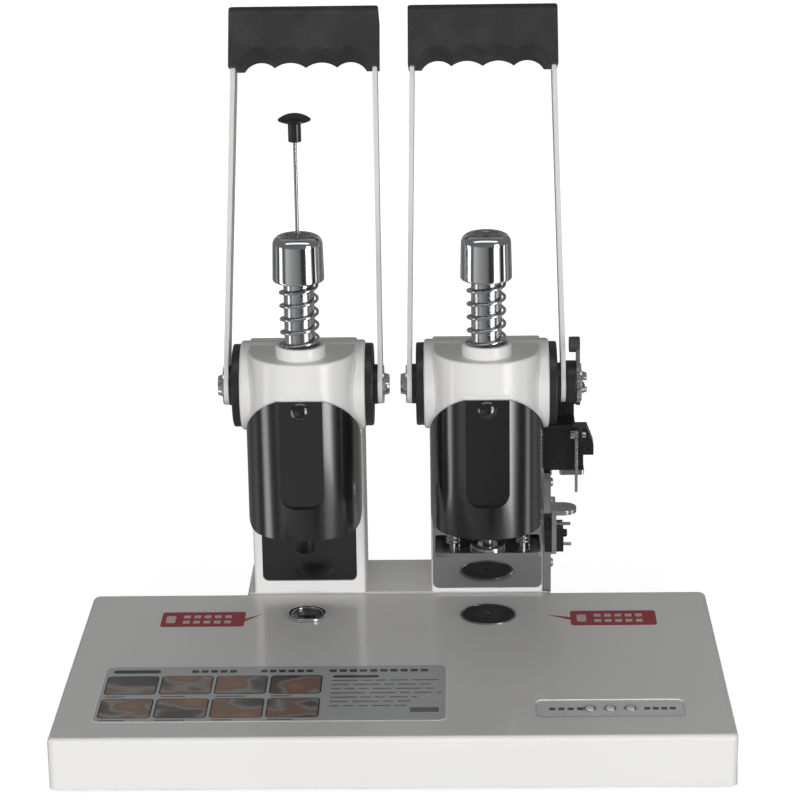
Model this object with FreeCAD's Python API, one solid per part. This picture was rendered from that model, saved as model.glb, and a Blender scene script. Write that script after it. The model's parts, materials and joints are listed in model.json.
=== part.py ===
"""Two-head document riveting machine: a tray base, two columns, a hot riveting head and a punch head.

Millimetres, +Z up, +X to the operator's right, +Y away from the operator.
The origin is on the table, under the middle of the overall box.
"""
import FreeCAD, Part
import math
import os

V = FreeCAD.Vector
AXIS_X = V(1, 0, 0)
AXIS_Y = V(0, 1, 0)
AXIS_Z = V(0, 0, 1)

# Fits and clearances
running_fit = 0.05
slide_gap = 0.3
seat_gap = 0.02
backlash = 0.25
gear_clearance = 0.8

# Base tray
base_width = 400.0
base_depth = 230.0
base_height = 32.0
base_wall = 2.0
base_corner_radius = 5.0
base_edge_radius = 3.0
tail_width = 199.0
tail_depth = 64.0
bottom_plate_thickness = 1.5
bottom_plate_margin = 1.0
foot_radius = 9.0
foot_height = 8.0
foot_drop = 3.0
foot_inset = 28.0

# Indicator recess and lamps
recess_inset = 72.0
recess_centre_front = 40.5
recess_width = 88.0
recess_depth = 26.0
recess_sink = 0.6
lamp_radius = 2.5
lamp_pitch = 12.0
lamp_count = 3
lamp_length = 7.0

# Head layout
head_x = 58.0
column_setback = 1.0
plunger_before_column = 41.0
pivot_behind_plunger = 30.0
pivot_height = 146.2

# Columns
column_width = 73.0
column_depth = 58.0
column_below_pivot = 28.2
column_wall = 3.0
column_corner_radius = 2.5
window_width = 61.6
window_bottom = 8.6
window_below_top = 18.0
window_corner_radius = 4.0
panel_inset = 0.8
panel_thickness = 2.0
mirror_width = 71.0
mirror_bottom = 3.2
mirror_top = 66.0
mirror_thickness = 1.2

# Head casting
barrel_radius = 34.0
barrel_behind_plunger = 12.0
barrel_bottom = 70.0
barrel_above_pivot = 28.0
barrel_edge_radius = 1.5
arm_height = 36.0
arm_edge_radius = 8.0
arm_setback = 2.0
boss_radius = 28.5
boss_half_width = 39.5
boss_edge_radius = 2.0
collar_radius = 15.6
collar_height = 7.8
chamber_radius = 30.0
chamber_depth = 14.0

# Front cover
cover_radius = 36.0
cover_wall = 1.7
cover_bottom = 59.7
cover_above_pivot = 7.1
cover_wrap = 11.0
cover_corner_radius = 34.0
channel_width = 27.5
channel_floor = 3.2
channel_bottom = 80.7
channel_corner_radius = 9.0
boss_relief = 3.0
button_below_pivot = 2.6
button_radius = 6.0
button_dome = 2.8
button_shank_radius = 2.0
button_shank_length = 8.0

# Plunger, rack and cap
rod_radius = 9.5
rod_bore_radius = 1.6
rod_bottom = 62.0
cap_radius = 16.1
cap_taper = 0.7
cap_above_pivot = 76.4
cap_height = 29.0
cap_round = 6.0
cap_dish_radius = 9.0
cap_dish_depth = 2.0
cap_recess_depth = 14.0
stroke = 40.0

# Rack and pinion
tooth_module = 1.5
pinion_teeth = 30
pressure_angle = 20.0
pinion_width = 16.0
rack_width = 20.0
rack_end_margin = 14.0

# Main spring
spring_wire = 2.0
spring_mean_radius = 11.4
spring_turns = 7.5
spring_seat_rise = 17.8

# Lever
lever_lean = 28.0
lever_inner = 47.2
lever_thickness = 3.0
lever_eye_radius = 12.5
lever_width = 20.0
lever_joggle = 2.7
lever_joggle_start = 16.0
lever_joggle_end = 203.0
lever_bend_radius = 3.0
strap_top = 236.0
shaft_radius = 8.0
end_cap_radius = 26.4
end_cap_length = 5.0
hub_radius = 12.7
washer_radius = 12.0
washer_thickness = 0.9
bolt_across_flats = 13.0
bolt_head_height = 3.4
bolt_radius = 3.0
bolt_length = 16.0

# Grip
grip_bottom = 206.0
grip_top = 248.0
grip_half_width = 48.5
grip_depth = 35.0
grip_edge_radius = 7.0
grip_lug = 7.0
grip_lug_slant = 6.5
grip_corner = 3.0
scallop_count = 4
scallop_pitch = 20.5
scallop_peak = 218.8
scallop_cusp = 215.2

# Needle
needle_radius = 1.15
needle_tip = 50.0
needle_rise = 58.4
needle_stem_radius = 4.0
needle_stem_length = 11.0
needle_knob_radius = 10.6
needle_knob_height = 6.5

# Left nozzle and lower die
nozzle_radius = 10.1
nozzle_bottom = 54.6
nozzle_height = 24.0
tip_radius = 6.5
tip_bottom = 44.5
tip_bore_radius = 1.6
die_ring_radius = 12.6
die_ring_bore = 9.6
die_ring_rise = 2.5
die_depth = 8.0
die_dish_drop = 1.8
die_pip_radius = 2.6
die_pip_rise = 1.4

# Right punch, press plate and lower pad
pad_ring_radius = 17.8
pad_ring_bore = 16.6
pad_ring_rise = 0.8
pad_rise = 0.6
pad_depth = 7.0
crosshead_width = 58.0
crosshead_depth = 16.0
crosshead_height = 8.0
crosshead_bottom = 60.0
punch_radius = 3.5
punch_bore_radius = 2.5
punch_tip = 42.6
punch_shank_radius = 5.5
press_plate_width = 67.0
press_plate_front = 11.5
press_plate_depth = 34.0
press_plate_bottom = 43.7
press_plate_thickness = 2.7
press_plate_hole = 6.5
bush_radius = 11.3
bush_height = 2.4
guide_spacing = 44.4
guide_radius = 2.0
guide_head_radius = 3.6
guide_head_height = 3.0
guide_spring_wire = 1.0
guide_spring_radius = 4.0
guide_spring_turns = 3.5

# Trip lever and limit switches
cam_length = 6.7
cam_radius = 14.0
trip_plate_thickness = 2.4
trip_plate_top = 25.0
trip_plate_low = 14.6
trip_plate_width = 14.0
trip_knob_radius = 5.0
trip_knob_length = 7.0
side_plate_thickness = 5.0
side_plate_top = 84.0
side_plate_depth = 54.0
side_plate_corner = 6.0
housing_lift = 0.6
housing_height = 30.6
housing_reach = 3.0
housing_depth = 36.0
housing_width = 15.5
housing_tower_rise = 13.2
housing_tower_setback = 21.0
housing_nose_width = 27.5
housing_nose_rise = 8.8
housing_nose_height = 17.6
housing_nose_depth = 15.0
housing_nose_setback = 4.0
housing_nose_step = 7.0
housing_nose_slope = 4.0
housing_foot_width = 20.9
blade_offset = 15.1
blade_thickness = 1.8
blade_width = 6.0
blade_tip = 71.0
blade_pin_rise = 25.0
blade_pin_radius = 2.0
blade_pin_length = 8.6
latch_plate_drop = 3.4
latch_plate_offset = 5.5
latch_plate_width = 15.8
microswitch_top = 48.4
microswitch_bottom = 33.2
microswitch_reach = 16.0
microswitch_depth = 20.0
microswitch_thickness = 4.6
spacer_gap = 0.4
bracket_margin = 1.0
bracket_run = 12.0
bracket_corner_radius = 5.0
switch_button_radius = 2.6
switch_button_length = 2.6
switch_button_sunk = 1.4
switch_button_hole = 3.0
switch_button_setback = 7.0
switch_button_rise = 3.0
terminal_length = 5.2
terminal_setback = 4.0
terminal_radius = 1.1
terminal_high = 51.2
terminal_low = 37.4
tab_top = 61.4
tab_thickness = 3.0
tab_reach = 16.1
tab_half_width = 9.0
tab_hole_radius = 2.2
side_screw_radius = 3.0
side_screw_height = 2.2

# Derived places
base_top = foot_drop + base_height
recess_centre_x = base_width / 2.0 - recess_inset
column_front = base_depth + column_setback
column_back = column_front + column_depth
column_height = pivot_height - column_below_pivot
window_top = column_height - window_below_top
plunger_front = column_front - plunger_before_column
pivot_front = plunger_front + pivot_behind_plunger
barrel_front = plunger_front + barrel_behind_plunger
barrel_top = pivot_height + barrel_above_pivot
cover_top = pivot_height + cover_above_pivot
cover_back = barrel_front + cover_wrap
button_height = pivot_height - button_below_pivot
cap_bottom = pivot_height + cap_above_pivot
spring_seat = pivot_height + spring_seat_rise
needle_stem_bottom = cap_bottom + cap_height + needle_rise
arm_back = column_back - arm_setback
pinion_radius = tooth_module * pinion_teeth / 2.0
rack_pitch_offset = pivot_behind_plunger - pinion_radius
lever_swing = math.degrees(stroke / pinion_radius)
lever_outer = lever_inner + lever_thickness
column_outer = head_x + column_width / 2.0
side_plate_outer = column_outer + side_plate_thickness
housing_bottom = side_plate_top + housing_lift
housing_top = housing_bottom + housing_height
housing_front = column_front - housing_reach
housing_back = housing_front + housing_depth
housing_outer = side_plate_outer + housing_width
housing_tower_top = housing_top + housing_tower_rise
housing_tower_front = housing_front + housing_tower_setback
housing_nose_outer = side_plate_outer + housing_nose_width
housing_nose_bottom = housing_bottom + housing_nose_rise
housing_nose_top = housing_nose_bottom + housing_nose_height
housing_foot_outer = side_plate_outer + housing_foot_width
blade_x = side_plate_outer + blade_offset
blade_pin_height = housing_bottom + blade_pin_rise
latch_plate_bottom = housing_bottom - latch_plate_drop
latch_plate_inner = side_plate_outer + latch_plate_offset
latch_plate_outer = latch_plate_inner + latch_plate_width
microswitch_front = column_front - microswitch_reach
bracket_back = column_front + bracket_run
tab_outer = side_plate_outer + tab_reach
collar_top = barrel_top + collar_height
spring_top = cap_bottom + cap_recess_depth
spring_bore_radius = spring_mean_radius + spring_wire / 2.0 + 0.5
lean = math.radians(lever_lean)
grip_back = ((grip_top - grip_edge_radius) * math.sin(lean)
             + (grip_depth / 2.0 - grip_edge_radius) * math.cos(lean) + grip_edge_radius)
overall_depth = pivot_front + grip_back
front_y = -overall_depth / 2.0


def at(x, front, height):
    """Point from its distance behind the front edge and its height above the base top."""
    return V(x, front_y + front, base_top + height)


def box(x0, x1, front0, front1, height0, height1):
    """Box between two corners."""
    return Part.makeBox(x1 - x0, front1 - front0, height1 - height0, at(x0, front0, height0))


def upright(x, front, height0, height1, radius):
    """Upright cylinder between two heights."""
    return Part.makeCylinder(radius, height1 - height0, at(x, front, height0), AXIS_Z)


def crosswise(x0, x1, front, height, radius):
    """Cylinder along X between two places."""
    return Part.makeCylinder(radius, x1 - x0, at(x0, front, height), AXIS_X)


def tube(x, front, height0, height1, outer, inner):
    """Upright tube."""
    through = upright(x, front, height0 - 1, height1 + 1, inner)
    return upright(x, front, height0, height1, outer).cut(through)


def prism(points, direction):
    """Straight-sided solid from an outline of points."""
    wire = Part.makePolygon(points + [points[0]])
    return Part.Face(wire).extrude(direction)


def rounded_plate(x0, x1, front0, front1, height0, height1, radius):
    """Plate with rounded upright corners."""
    plate = box(x0, x1, front0, front1, height0, height1)
    return plate.makeFillet(radius, edges_along(plate, AXIS_Z))


def edges_along(shape, axis):
    """Straight edges parallel to an axis."""
    found = []
    for edge in shape.Edges:
        if not isinstance(edge.Curve, Part.Line):
            continue
        if abs(abs(edge.tangentAt(edge.FirstParameter).dot(axis)) - 1) < 1e-6:
            found.append(edge)
    return found


def edges_at(shape, height, tolerance=1e-4):
    """Edges that lie wholly at one height above the base top."""
    level = base_top + height
    found = []
    for edge in shape.Edges:
        bound = edge.BoundBox
        if abs(bound.ZMin - level) < tolerance and abs(bound.ZMax - level) < tolerance:
            found.append(edge)
    return found


def revolve(x, front, outline):
    """Solid turned about an upright axis from (radius, height) points."""
    points = []
    for radius, height in outline:
        points.append(at(x + radius, front, height))
    wire = Part.makePolygon(points + [points[0]])
    return Part.Face(wire).revolve(at(x, front, 0), AXIS_Z, 360)


def group(solids):
    """Separate solids kept in one node."""
    return Part.makeCompound(solids)


def die_places():
    """Upright axes of the two heads, left then right."""
    return [(-head_x, plunger_front), (head_x, plunger_front)]


def lamp_places():
    """Middle of each indicator lamp along X."""
    first = recess_centre_x - lamp_pitch * (lamp_count - 1) / 2.0
    return [first + lamp_pitch * index for index in range(lamp_count)]


def hollow_tray(x0, x1, front0, front1):
    """Tray open below, with rounded corners and a softened top edge."""
    outer = rounded_plate(x0, x1, front0, front1, -base_height, 0, base_corner_radius)
    outer = outer.makeFillet(base_edge_radius, edges_at(outer, 0))
    wall = base_wall
    inner = rounded_plate(x0 + wall, x1 - wall, front0 + wall, front1 - wall,
                          -base_height - 1, -wall, base_corner_radius - wall)
    return outer.cut(inner)


def base_shell():
    """Wide tray that carries the work, with die seats, lamp holes and a shallow panel."""
    half = base_width / 2.0
    shell = hollow_tray(-half, half, 0, base_depth)
    left, right = die_places()
    shell = shell.cut(upright(left[0], left[1], -base_wall - 1, 1, die_ring_radius + running_fit))
    shell = shell.cut(upright(right[0], right[1], -base_wall - 1, 1, pad_ring_radius + running_fit))
    panel = rounded_plate(recess_centre_x - recess_width / 2.0, recess_centre_x + recess_width / 2.0,
                          recess_centre_front - recess_depth / 2.0,
                          recess_centre_front + recess_depth / 2.0,
                          -recess_sink, 1, base_corner_radius)
    shell = shell.cut(panel)
    for x in lamp_places():
        shell = shell.cut(upright(x, recess_centre_front, -base_wall - 1, 1, lamp_radius + running_fit))
    for seat in base_seats():
        shell = shell.fuse(seat)
    return shell.removeSplitter()


def base_seats():
    """Turned pockets under the top that carry the lower dies, and legs for the bottom plate."""
    left, right = die_places()
    floor = -die_depth - base_wall
    left_cup = tube(left[0], left[1], floor, -base_wall, die_ring_radius + base_wall,
                    die_ring_radius + running_fit)
    left_floor = tube(left[0], left[1], floor, -die_depth, die_ring_radius + base_wall, die_pip_radius)
    right_cup = tube(right[0], right[1], -pad_depth - base_wall, -base_wall,
                     pad_ring_radius + base_wall, pad_ring_radius + running_fit)
    right_floor = upright(right[0], right[1], -pad_depth - base_wall, -pad_depth,
                          pad_ring_radius + base_wall)
    return [left_cup, left_floor, right_cup, right_floor] + plate_legs()


def leg_places():
    """Screw posts in the corners of the tray."""
    reach = base_width / 2.0 - foot_inset
    return [(-reach, foot_inset), (reach, foot_inset),
            (-reach, base_depth - foot_inset), (reach, base_depth - foot_inset)]


def plate_legs():
    """Posts from the tray's top down to the bottom plate."""
    low = -base_height + bottom_plate_thickness
    return [upright(x, front, low, -base_wall / 2.0, foot_radius * 0.6) for x, front in leg_places()]


def rear_deck():
    """Tray behind the base that the columns stand on."""
    half = tail_width / 2.0
    return hollow_tray(-half, half, base_depth, base_depth + tail_depth)


def base_plate():
    """Flat closing plate inside the skirt of the tray."""
    inset = base_wall + bottom_plate_margin
    half = base_width / 2.0 - inset
    plate = rounded_plate(-half, half, inset, base_depth - inset, -base_height,
                          -base_height + bottom_plate_thickness, base_corner_radius)
    for x, front in leg_places():
        hole = upright(x, front, -base_height - 1, 0, button_shank_radius)
        plate = plate.cut(hole)
    return plate


def foot(x, front, top):
    """Moulded foot, wider at its root and rounded where it meets the table."""
    low = -base_height - foot_drop
    solid = Part.makeCone(foot_radius - 1.0, foot_radius, top - low, at(x, front, low), AXIS_Z)
    solid = solid.makeFillet(0.8, edges_at(solid, low))
    return solid


def feet():
    """Four feet under the bottom plate and two under the rear deck's walls."""
    solids = [foot(x, front, -base_height) for x, front in leg_places()]
    side = tail_width / 2.0 - base_wall / 2.0 - foot_radius
    back = base_depth + tail_depth - base_wall - foot_radius
    for x in (-side, side):
        solids.append(foot(x, back, -base_height))
    return group(solids)


def deck_plate():
    """Closing plate under the rear deck, which carries its feet."""
    inset = base_wall + bottom_plate_margin
    half = tail_width / 2.0 - inset
    return rounded_plate(-half, half, base_depth + inset, base_depth + tail_depth - inset,
                         -base_height, -base_height + bottom_plate_thickness, base_corner_radius)


def bottom_plates():
    """Closing plates of the base and of the rear deck."""
    return group([base_plate(), deck_plate()])


def lamps():
    """Three small domed indicator lamps."""
    solids = []
    for x in lamp_places():
        body = upright(x, recess_centre_front, -lamp_length, 0.4, lamp_radius)
        body = body.makeFillet(0.6, edges_at(body, 0.4))
        flange_radius = lamp_radius + 1.2
        flange = upright(x, recess_centre_front, -base_wall - 1.0, -base_wall, flange_radius)
        solids.append(body.fuse(flange).removeSplitter())
    return group(solids)


def column(x):
    """Hollow post with softened upright corners."""
    half = column_width / 2.0
    outer = rounded_plate(x - half, x + half, column_front, column_back, 0, column_height,
                          column_corner_radius)
    wall = column_wall
    inner = box(x - half + wall, x + half - wall, column_front + wall, column_back - wall,
                wall, column_height - wall)
    return outer.cut(inner)


def left_column():
    """Left post with a window for its dark front panel."""
    half = window_width / 2.0
    window = box(-head_x - half, -head_x + half, column_front - 1, column_front + column_wall + 1,
                 window_bottom, window_top)
    window = window.makeFillet(window_corner_radius, edges_along(window, AXIS_Y))
    return column(-head_x).cut(window)


def left_column_panel():
    """Glossy panel that fills the left post's window, with a rim behind the wall."""
    half = window_width / 2.0 - slide_gap
    face = column_front + panel_inset
    back = column_front + column_wall
    low = window_bottom + slide_gap
    high = window_top - slide_gap
    panel = box(-head_x - half, -head_x + half, face, back, low, high)
    panel = panel.makeFillet(window_corner_radius - slide_gap, edges_along(panel, AXIS_Y))
    rim = box(-head_x - half - 1.5, -head_x + half + 1.5, back, back + panel_thickness,
              low - 1.5, high + 1.5)
    return panel.fuse(rim).removeSplitter()


def right_column():
    """Right post."""
    return column(head_x)


def right_mirror_plate():
    """Polished plate on the front of the right post."""
    half = mirror_width / 2.0
    plate = box(head_x - half, head_x + half, column_front - mirror_thickness, column_front,
                mirror_bottom, mirror_top)
    return plate.makeFillet(window_corner_radius, edges_along(plate, AXIS_Y))


def side_plate():
    """Thick steel plate on the outer side of the right post."""
    plate = box(column_outer, side_plate_outer, column_front, column_front + side_plate_depth,
                0, side_plate_top)
    top_edges = [edge for edge in edges_along(plate, AXIS_X)
                 if edge.BoundBox.ZMin > base_top + side_plate_top - 1]
    return plate.makeFillet(side_plate_corner, top_edges)


def barrel_plan(x, radius, back, height0, height1):
    """Upright body with a half-round front and straight sides that run back."""
    front = barrel_front
    left_front = at(x - radius, front, height0)
    right_front = at(x + radius, front, height0)
    nose = at(x, front - radius, height0)
    left_back = at(x - radius, back, height0)
    right_back = at(x + radius, back, height0)
    arc = Part.Arc(left_front, nose, right_front).toShape()
    right_side = Part.LineSegment(right_front, right_back).toShape()
    rear = Part.LineSegment(right_back, left_back).toShape()
    left_side = Part.LineSegment(left_back, left_front).toShape()
    wire = Part.Wire([arc, right_side, rear, left_side])
    return Part.Face(wire).extrude(V(0, 0, height1 - height0))


def head_casting(x):
    """White casting: round-nosed barrel, cross boss for the shaft and an arm back onto the post."""
    clear = column_front - seat_gap
    barrel = barrel_plan(x, barrel_radius, clear, barrel_bottom, barrel_top)
    barrel = barrel.makeFillet(barrel_edge_radius, nose_edges(barrel, barrel_top))
    arm = box(x - barrel_radius, x + barrel_radius, clear - 1, arm_back,
              column_height, column_height + arm_height)
    arm_rear_edges = [edge for edge in edges_along(arm, AXIS_X)
                      if edge.BoundBox.ZMin > base_top + column_height + 1]
    arm = arm.makeFillet(arm_edge_radius, arm_rear_edges)
    boss = crosswise(x - boss_half_width, x + boss_half_width, pivot_front, pivot_height, boss_radius)
    boss = boss.makeFillet(boss_edge_radius, ring_edges(boss))
    collar = upright(x, plunger_front, barrel_top - 1, collar_top, collar_radius)
    collar = collar.makeFillet(0.8, edges_at(collar, collar_top))
    body = barrel.fuse([arm, boss, collar])
    return body.cut(casting_cores(x)).removeSplitter()


def nose_edges(shape, height):
    """Edges at one height that are not on the flat back."""
    back_y = front_y + column_front - 1
    return [edge for edge in edges_at(shape, height) if edge.BoundBox.YMin < back_y]


def ring_edges(shape):
    """Round edges of a turned piece."""
    return [edge for edge in shape.Edges if isinstance(edge.Curve, Part.Circle) and edge.isClosed()]


def casting_cores(x):
    """Bores and chambers of the casting, joined into one cutter."""
    guide = upright(x, plunger_front, barrel_bottom - 1, collar_top + 1, rod_radius + running_fit)
    well = upright(x, plunger_front, spring_seat, collar_top + 1, spring_bore_radius)
    chamber = upright(x, barrel_front, barrel_bottom - 1, barrel_bottom + chamber_depth, chamber_radius)
    shaft = crosswise(x - boss_half_width - 1, x + boss_half_width + 1, pivot_front, pivot_height,
                      shaft_radius + running_fit)
    half = pinion_width / 2.0 + slide_gap
    gear_room = crosswise(x - half, x + half, pivot_front, pivot_height, pinion_outer() + gear_clearance)
    face = barrel_front - barrel_radius + cover_wall + channel_relief()
    flat = box(x - channel_width / 2.0 - cover_wall - slide_gap,
               x + channel_width / 2.0 + cover_wall + slide_gap,
               barrel_front - barrel_radius - 1, face,
               channel_bottom - cover_wall - slide_gap - 2, cover_top + 0.4)
    screw = Part.makeCylinder(button_shank_radius, button_shank_length + 12,
                              at(x, barrel_front - barrel_radius - 1, button_height), AXIS_Y)
    return guide.fuse([well, chamber, shaft, gear_room, flat, screw])


def channel_relief():
    """How far the back of the cover's channel stands behind the barrel's nose."""
    nose = barrel_front - barrel_radius
    floor = barrel_front - cover_radius + channel_floor
    return floor - nose + slide_gap


def pinion_outer():
    """Radius over the pinion's teeth."""
    return pinion_radius + tooth_module


def cover(x):
    """Thin half-round cover with a pressed channel, its upper edge cleared round the boss."""
    outer = barrel_plan(x, cover_radius, cover_back, cover_bottom, cover_top)
    inner = barrel_plan(x, cover_radius - cover_wall, cover_back + 1, cover_bottom - 1, cover_top + 1)
    shell = outer.cut(inner)
    floor = barrel_front - cover_radius + channel_floor
    half = channel_width / 2.0
    nose = barrel_front - cover_radius
    backing = box(x - half - cover_wall, x + half + cover_wall, nose + cover_wall, floor + cover_wall,
                  channel_bottom - cover_wall, cover_top)
    channel = box(x - half, x + half, nose - 1, floor, channel_bottom, cover_top + 1)
    low_corners = [edge for edge in edges_along(channel, AXIS_Y)
                   if edge.BoundBox.ZMax < base_top + channel_bottom + 1]
    channel = channel.makeFillet(channel_corner_radius, low_corners)
    shell = shell.fuse(backing.common(outer)).cut(channel)
    shell = shell.cut(cover_relief(x)).cut(cover_low_corner(x))
    hole = Part.makeCylinder(button_shank_radius + running_fit, 20,
                             at(x, nose, button_height), AXIS_Y)
    return shell.cut(hole).removeSplitter()


def cover_relief(x):
    """Cutter for the cover's upper edge: round the boss, then sloping up to the front."""
    radius = boss_radius + boss_relief
    nose = barrel_front - cover_radius
    reach = cover_radius + 2
    touch = toward_point(pivot_front - nose, pivot_height - cover_top, radius)
    wedge = [at(x - reach, nose - 0.01, cover_top),
             at(x - reach, pivot_front + radius * touch[0], pivot_height + radius * touch[1]),
             at(x - reach, pivot_front, pivot_height),
             at(x - reach, pivot_front, cover_top + 20),
             at(x - reach, nose - 0.01, cover_top + 20)]
    slope = prism(wedge, V(2 * reach, 0, 0))
    ring = crosswise(x - reach, x + reach, pivot_front, pivot_height, radius)
    behind = box(x - reach, x + reach, pivot_front, column_front, pivot_height - radius, cover_top + 20)
    return slope.fuse([ring, behind])


def cover_low_corner(x):
    """Cutter that rounds the cover's lower edge up towards its rear edges."""
    reach = cover_radius + 2
    start = cover_back - cover_corner_radius
    level = cover_bottom + cover_corner_radius
    corner = box(x - reach, x + reach, start, cover_back + 1, cover_bottom - 1, level)
    return corner.cut(crosswise(x - reach, x + reach, start, level, cover_corner_radius))


def toward_point(run, rise, radius):
    """Unit direction from the boss's axis to where the sloping edge touches its clearance circle."""
    distance = math.hypot(run, rise)
    base = math.atan2(-rise, -run)
    half = math.acos(radius / distance)
    angle = base + half
    return (math.cos(angle), math.sin(angle))


def cover_buttons():
    """Domed screws that hold the covers, one on each head."""
    floor = barrel_front - cover_radius + channel_floor
    solids = []
    for x, front in die_places():
        sphere_radius = (button_radius ** 2 + button_dome ** 2) / (2 * button_dome)
        ball = Part.makeSphere(sphere_radius, at(x, floor - button_dome + sphere_radius, button_height))
        cap = Part.makeCylinder(button_radius, button_dome + 1, at(x, floor - button_dome - 1, button_height),
                                AXIS_Y)
        dome = ball.common(cap)
        shank = Part.makeCylinder(button_shank_radius, button_shank_length,
                                  at(x, floor - 0.2, button_height), AXIS_Y)
        solids.append(dome.fuse(shank).removeSplitter())
    return group(solids)


def end_caps():
    """Bearing caps pressed onto both ends of each boss."""
    solids = []
    for x, side in [(-head_x, -1), (-head_x, 1), (head_x, -1), (head_x, 1)]:
        inner = x + side * boss_half_width
        start = min(inner, inner + side * end_cap_length)
        disc = crosswise(start, start + end_cap_length, pivot_front, pivot_height, end_cap_radius)
        outer_x = inner + side * end_cap_length
        rim = [edge for edge in ring_edges(disc) if abs(edge.BoundBox.XMin - outer_x) < 0.01]
        disc = disc.makeFillet(1.2, rim)
        hole = crosswise(start - 1, start + end_cap_length + 1, pivot_front, pivot_height,
                         shaft_radius + running_fit)
        solids.append(disc.cut(hole))
    return group(solids)


def pinion(x):
    """Spur pinion keyed on the shaft, in mesh with the rack at rest."""
    centre = at(x - pinion_width / 2.0, pivot_front, pivot_height)
    root = pinion_radius - 1.25 * tooth_module
    wheel = Part.makeCylinder(root, pinion_width, centre, AXIS_X)
    teeth = []
    step = 2 * math.pi / pinion_teeth
    for index in range(pinion_teeth):
        teeth.append(pinion_tooth(centre, root - 0.5, math.pi + step * index))
    wheel = wheel.fuse(teeth)
    bore = Part.makeCylinder(shaft_radius, pinion_width + 2, centre - AXIS_X, AXIS_X)
    return wheel.cut(bore).removeSplitter()


def pinion_tooth(centre, inner, angle):
    """One tooth with flanks drawn as arcs close to the involute."""
    half_pitch = (math.pi * tooth_module / 2.0 - backlash) / 2.0 / pinion_radius
    base_radius = pinion_radius * math.cos(math.radians(pressure_angle))
    pitch_flank = involute(pinion_radius / base_radius)
    flank = []
    for radius in (inner, base_radius, pinion_radius, pinion_outer() - 0.15):
        opened = involute(max(radius, base_radius) / base_radius)
        flank.append((radius, half_pitch + pitch_flank - opened))
    left = [gear_point(centre, radius, angle + half) for radius, half in flank]
    right = [gear_point(centre, radius, angle - half) for radius, half in flank]
    crest = gear_point(centre, pinion_outer() - 0.15, angle)
    edges = [Part.LineSegment(left[0], left[1]).toShape(),
             Part.Arc(left[1], left[2], left[3]).toShape(),
             Part.Arc(left[3], crest, right[3]).toShape(),
             Part.Arc(right[3], right[2], right[1]).toShape(),
             Part.LineSegment(right[1], right[0]).toShape(),
             Part.LineSegment(right[0], left[0]).toShape()]
    return Part.Face(Part.Wire(edges)).extrude(V(pinion_width, 0, 0))


def involute(ratio):
    """Involute function of the angle whose secant is the ratio."""
    slope = math.sqrt(max(ratio * ratio - 1, 0))
    return slope - math.atan(slope)


def gear_point(centre, radius, angle):
    """Point round the pinion's axis, measured from straight back."""
    return centre + V(0, radius * math.cos(angle), radius * math.sin(angle))


def plunger(x):
    """Bored rod with rack teeth cut down its rear side."""
    top = cap_bottom + cap_recess_depth
    rod = upright(x, plunger_front, rod_bottom, top, rod_radius)
    bore = upright(x, plunger_front, rod_bottom - 1, top + 1, rod_bore_radius)
    rod = rod.cut(bore)
    low = pivot_height - rack_end_margin
    high = pivot_height + stroke + rack_end_margin
    return rod.cut(rack_gaps(x, low, high)).removeSplitter()


def rack_gaps(x, low, high):
    """Cutter that leaves straight-flanked rack teeth, with a gap on the pinion's centre line."""
    pitch = math.pi * tooth_module
    slope = math.tan(math.radians(pressure_angle))
    tip = rack_pitch_offset + tooth_module
    root = rack_pitch_offset - 1.25 * tooth_module
    half = rack_width / 2.0
    relief = box(x - half, x + half, plunger_front + tip, plunger_front + rod_radius + 1, low, high)
    gaps = [relief]
    first = math.ceil((low - pivot_height) / pitch)
    last = math.floor((high - pivot_height) / pitch)
    for index in range(first, last + 1):
        middle = pivot_height + pitch * index
        at_root = pitch / 4.0 - 1.25 * tooth_module * slope
        at_tip = pitch / 4.0 + tooth_module * slope
        outline = [at(x - half, plunger_front + root, middle - at_root),
                   at(x - half, plunger_front + tip + 0.01, middle - at_tip),
                   at(x - half, plunger_front + tip + 0.01, middle + at_tip),
                   at(x - half, plunger_front + root, middle + at_root)]
        gaps.append(prism(outline, V(2 * half, 0, 0)))
    return gaps


def cap(x):
    """Turned cap, slightly wider at the foot, with a dished top and a recess for the spring."""
    top = cap_bottom + cap_height
    body = Part.makeCone(cap_radius, cap_radius - cap_taper, cap_height,
                         at(x, plunger_front, cap_bottom), AXIS_Z)
    body = body.makeFillet(cap_round, edges_at(body, top))
    body = body.makeFillet(1.5, edges_at(body, cap_bottom))
    ball = (cap_dish_radius ** 2 + cap_dish_depth ** 2) / (2 * cap_dish_depth)
    dish = Part.makeSphere(ball, at(x, plunger_front, top - cap_dish_depth + ball))
    recess = upright(x, plunger_front, cap_bottom - 1, spring_top, spring_bore_radius)
    through = upright(x, plunger_front, cap_bottom, top + 1, rod_bore_radius)
    return body.cut(dish).cut(recess).cut(through)


def helix_point(centre, radius, pitch, angle):
    """Point and unit tangent of a right-handed helix."""
    climb = pitch / (2 * math.pi)
    point = centre + V(radius * math.cos(angle), radius * math.sin(angle), climb * angle)
    tangent = V(-radius * math.sin(angle), radius * math.cos(angle), climb)
    return point, tangent.normalize()


def biarc(start, start_dir, end, end_dir):
    """Two tangent arcs that join two points with given directions."""
    chord = end - start
    both = start_dir + end_dir
    a = 2 * (start_dir.dot(end_dir) - 1)
    b = -2 * chord.dot(both)
    c = chord.dot(chord)
    if abs(a) < 1e-9:
        reach = -c / b
    else:
        reach = (-b - math.sqrt(b * b - 4 * a * c)) / (2 * a)
        if reach < 0:
            reach = (-b + math.sqrt(b * b - 4 * a * c)) / (2 * a)
    first = start + start_dir * reach
    second = end - end_dir * reach
    middle = (first + second) * 0.5
    return [tangent_arc(start, first, middle), tangent_arc(middle, second, end)]


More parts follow.
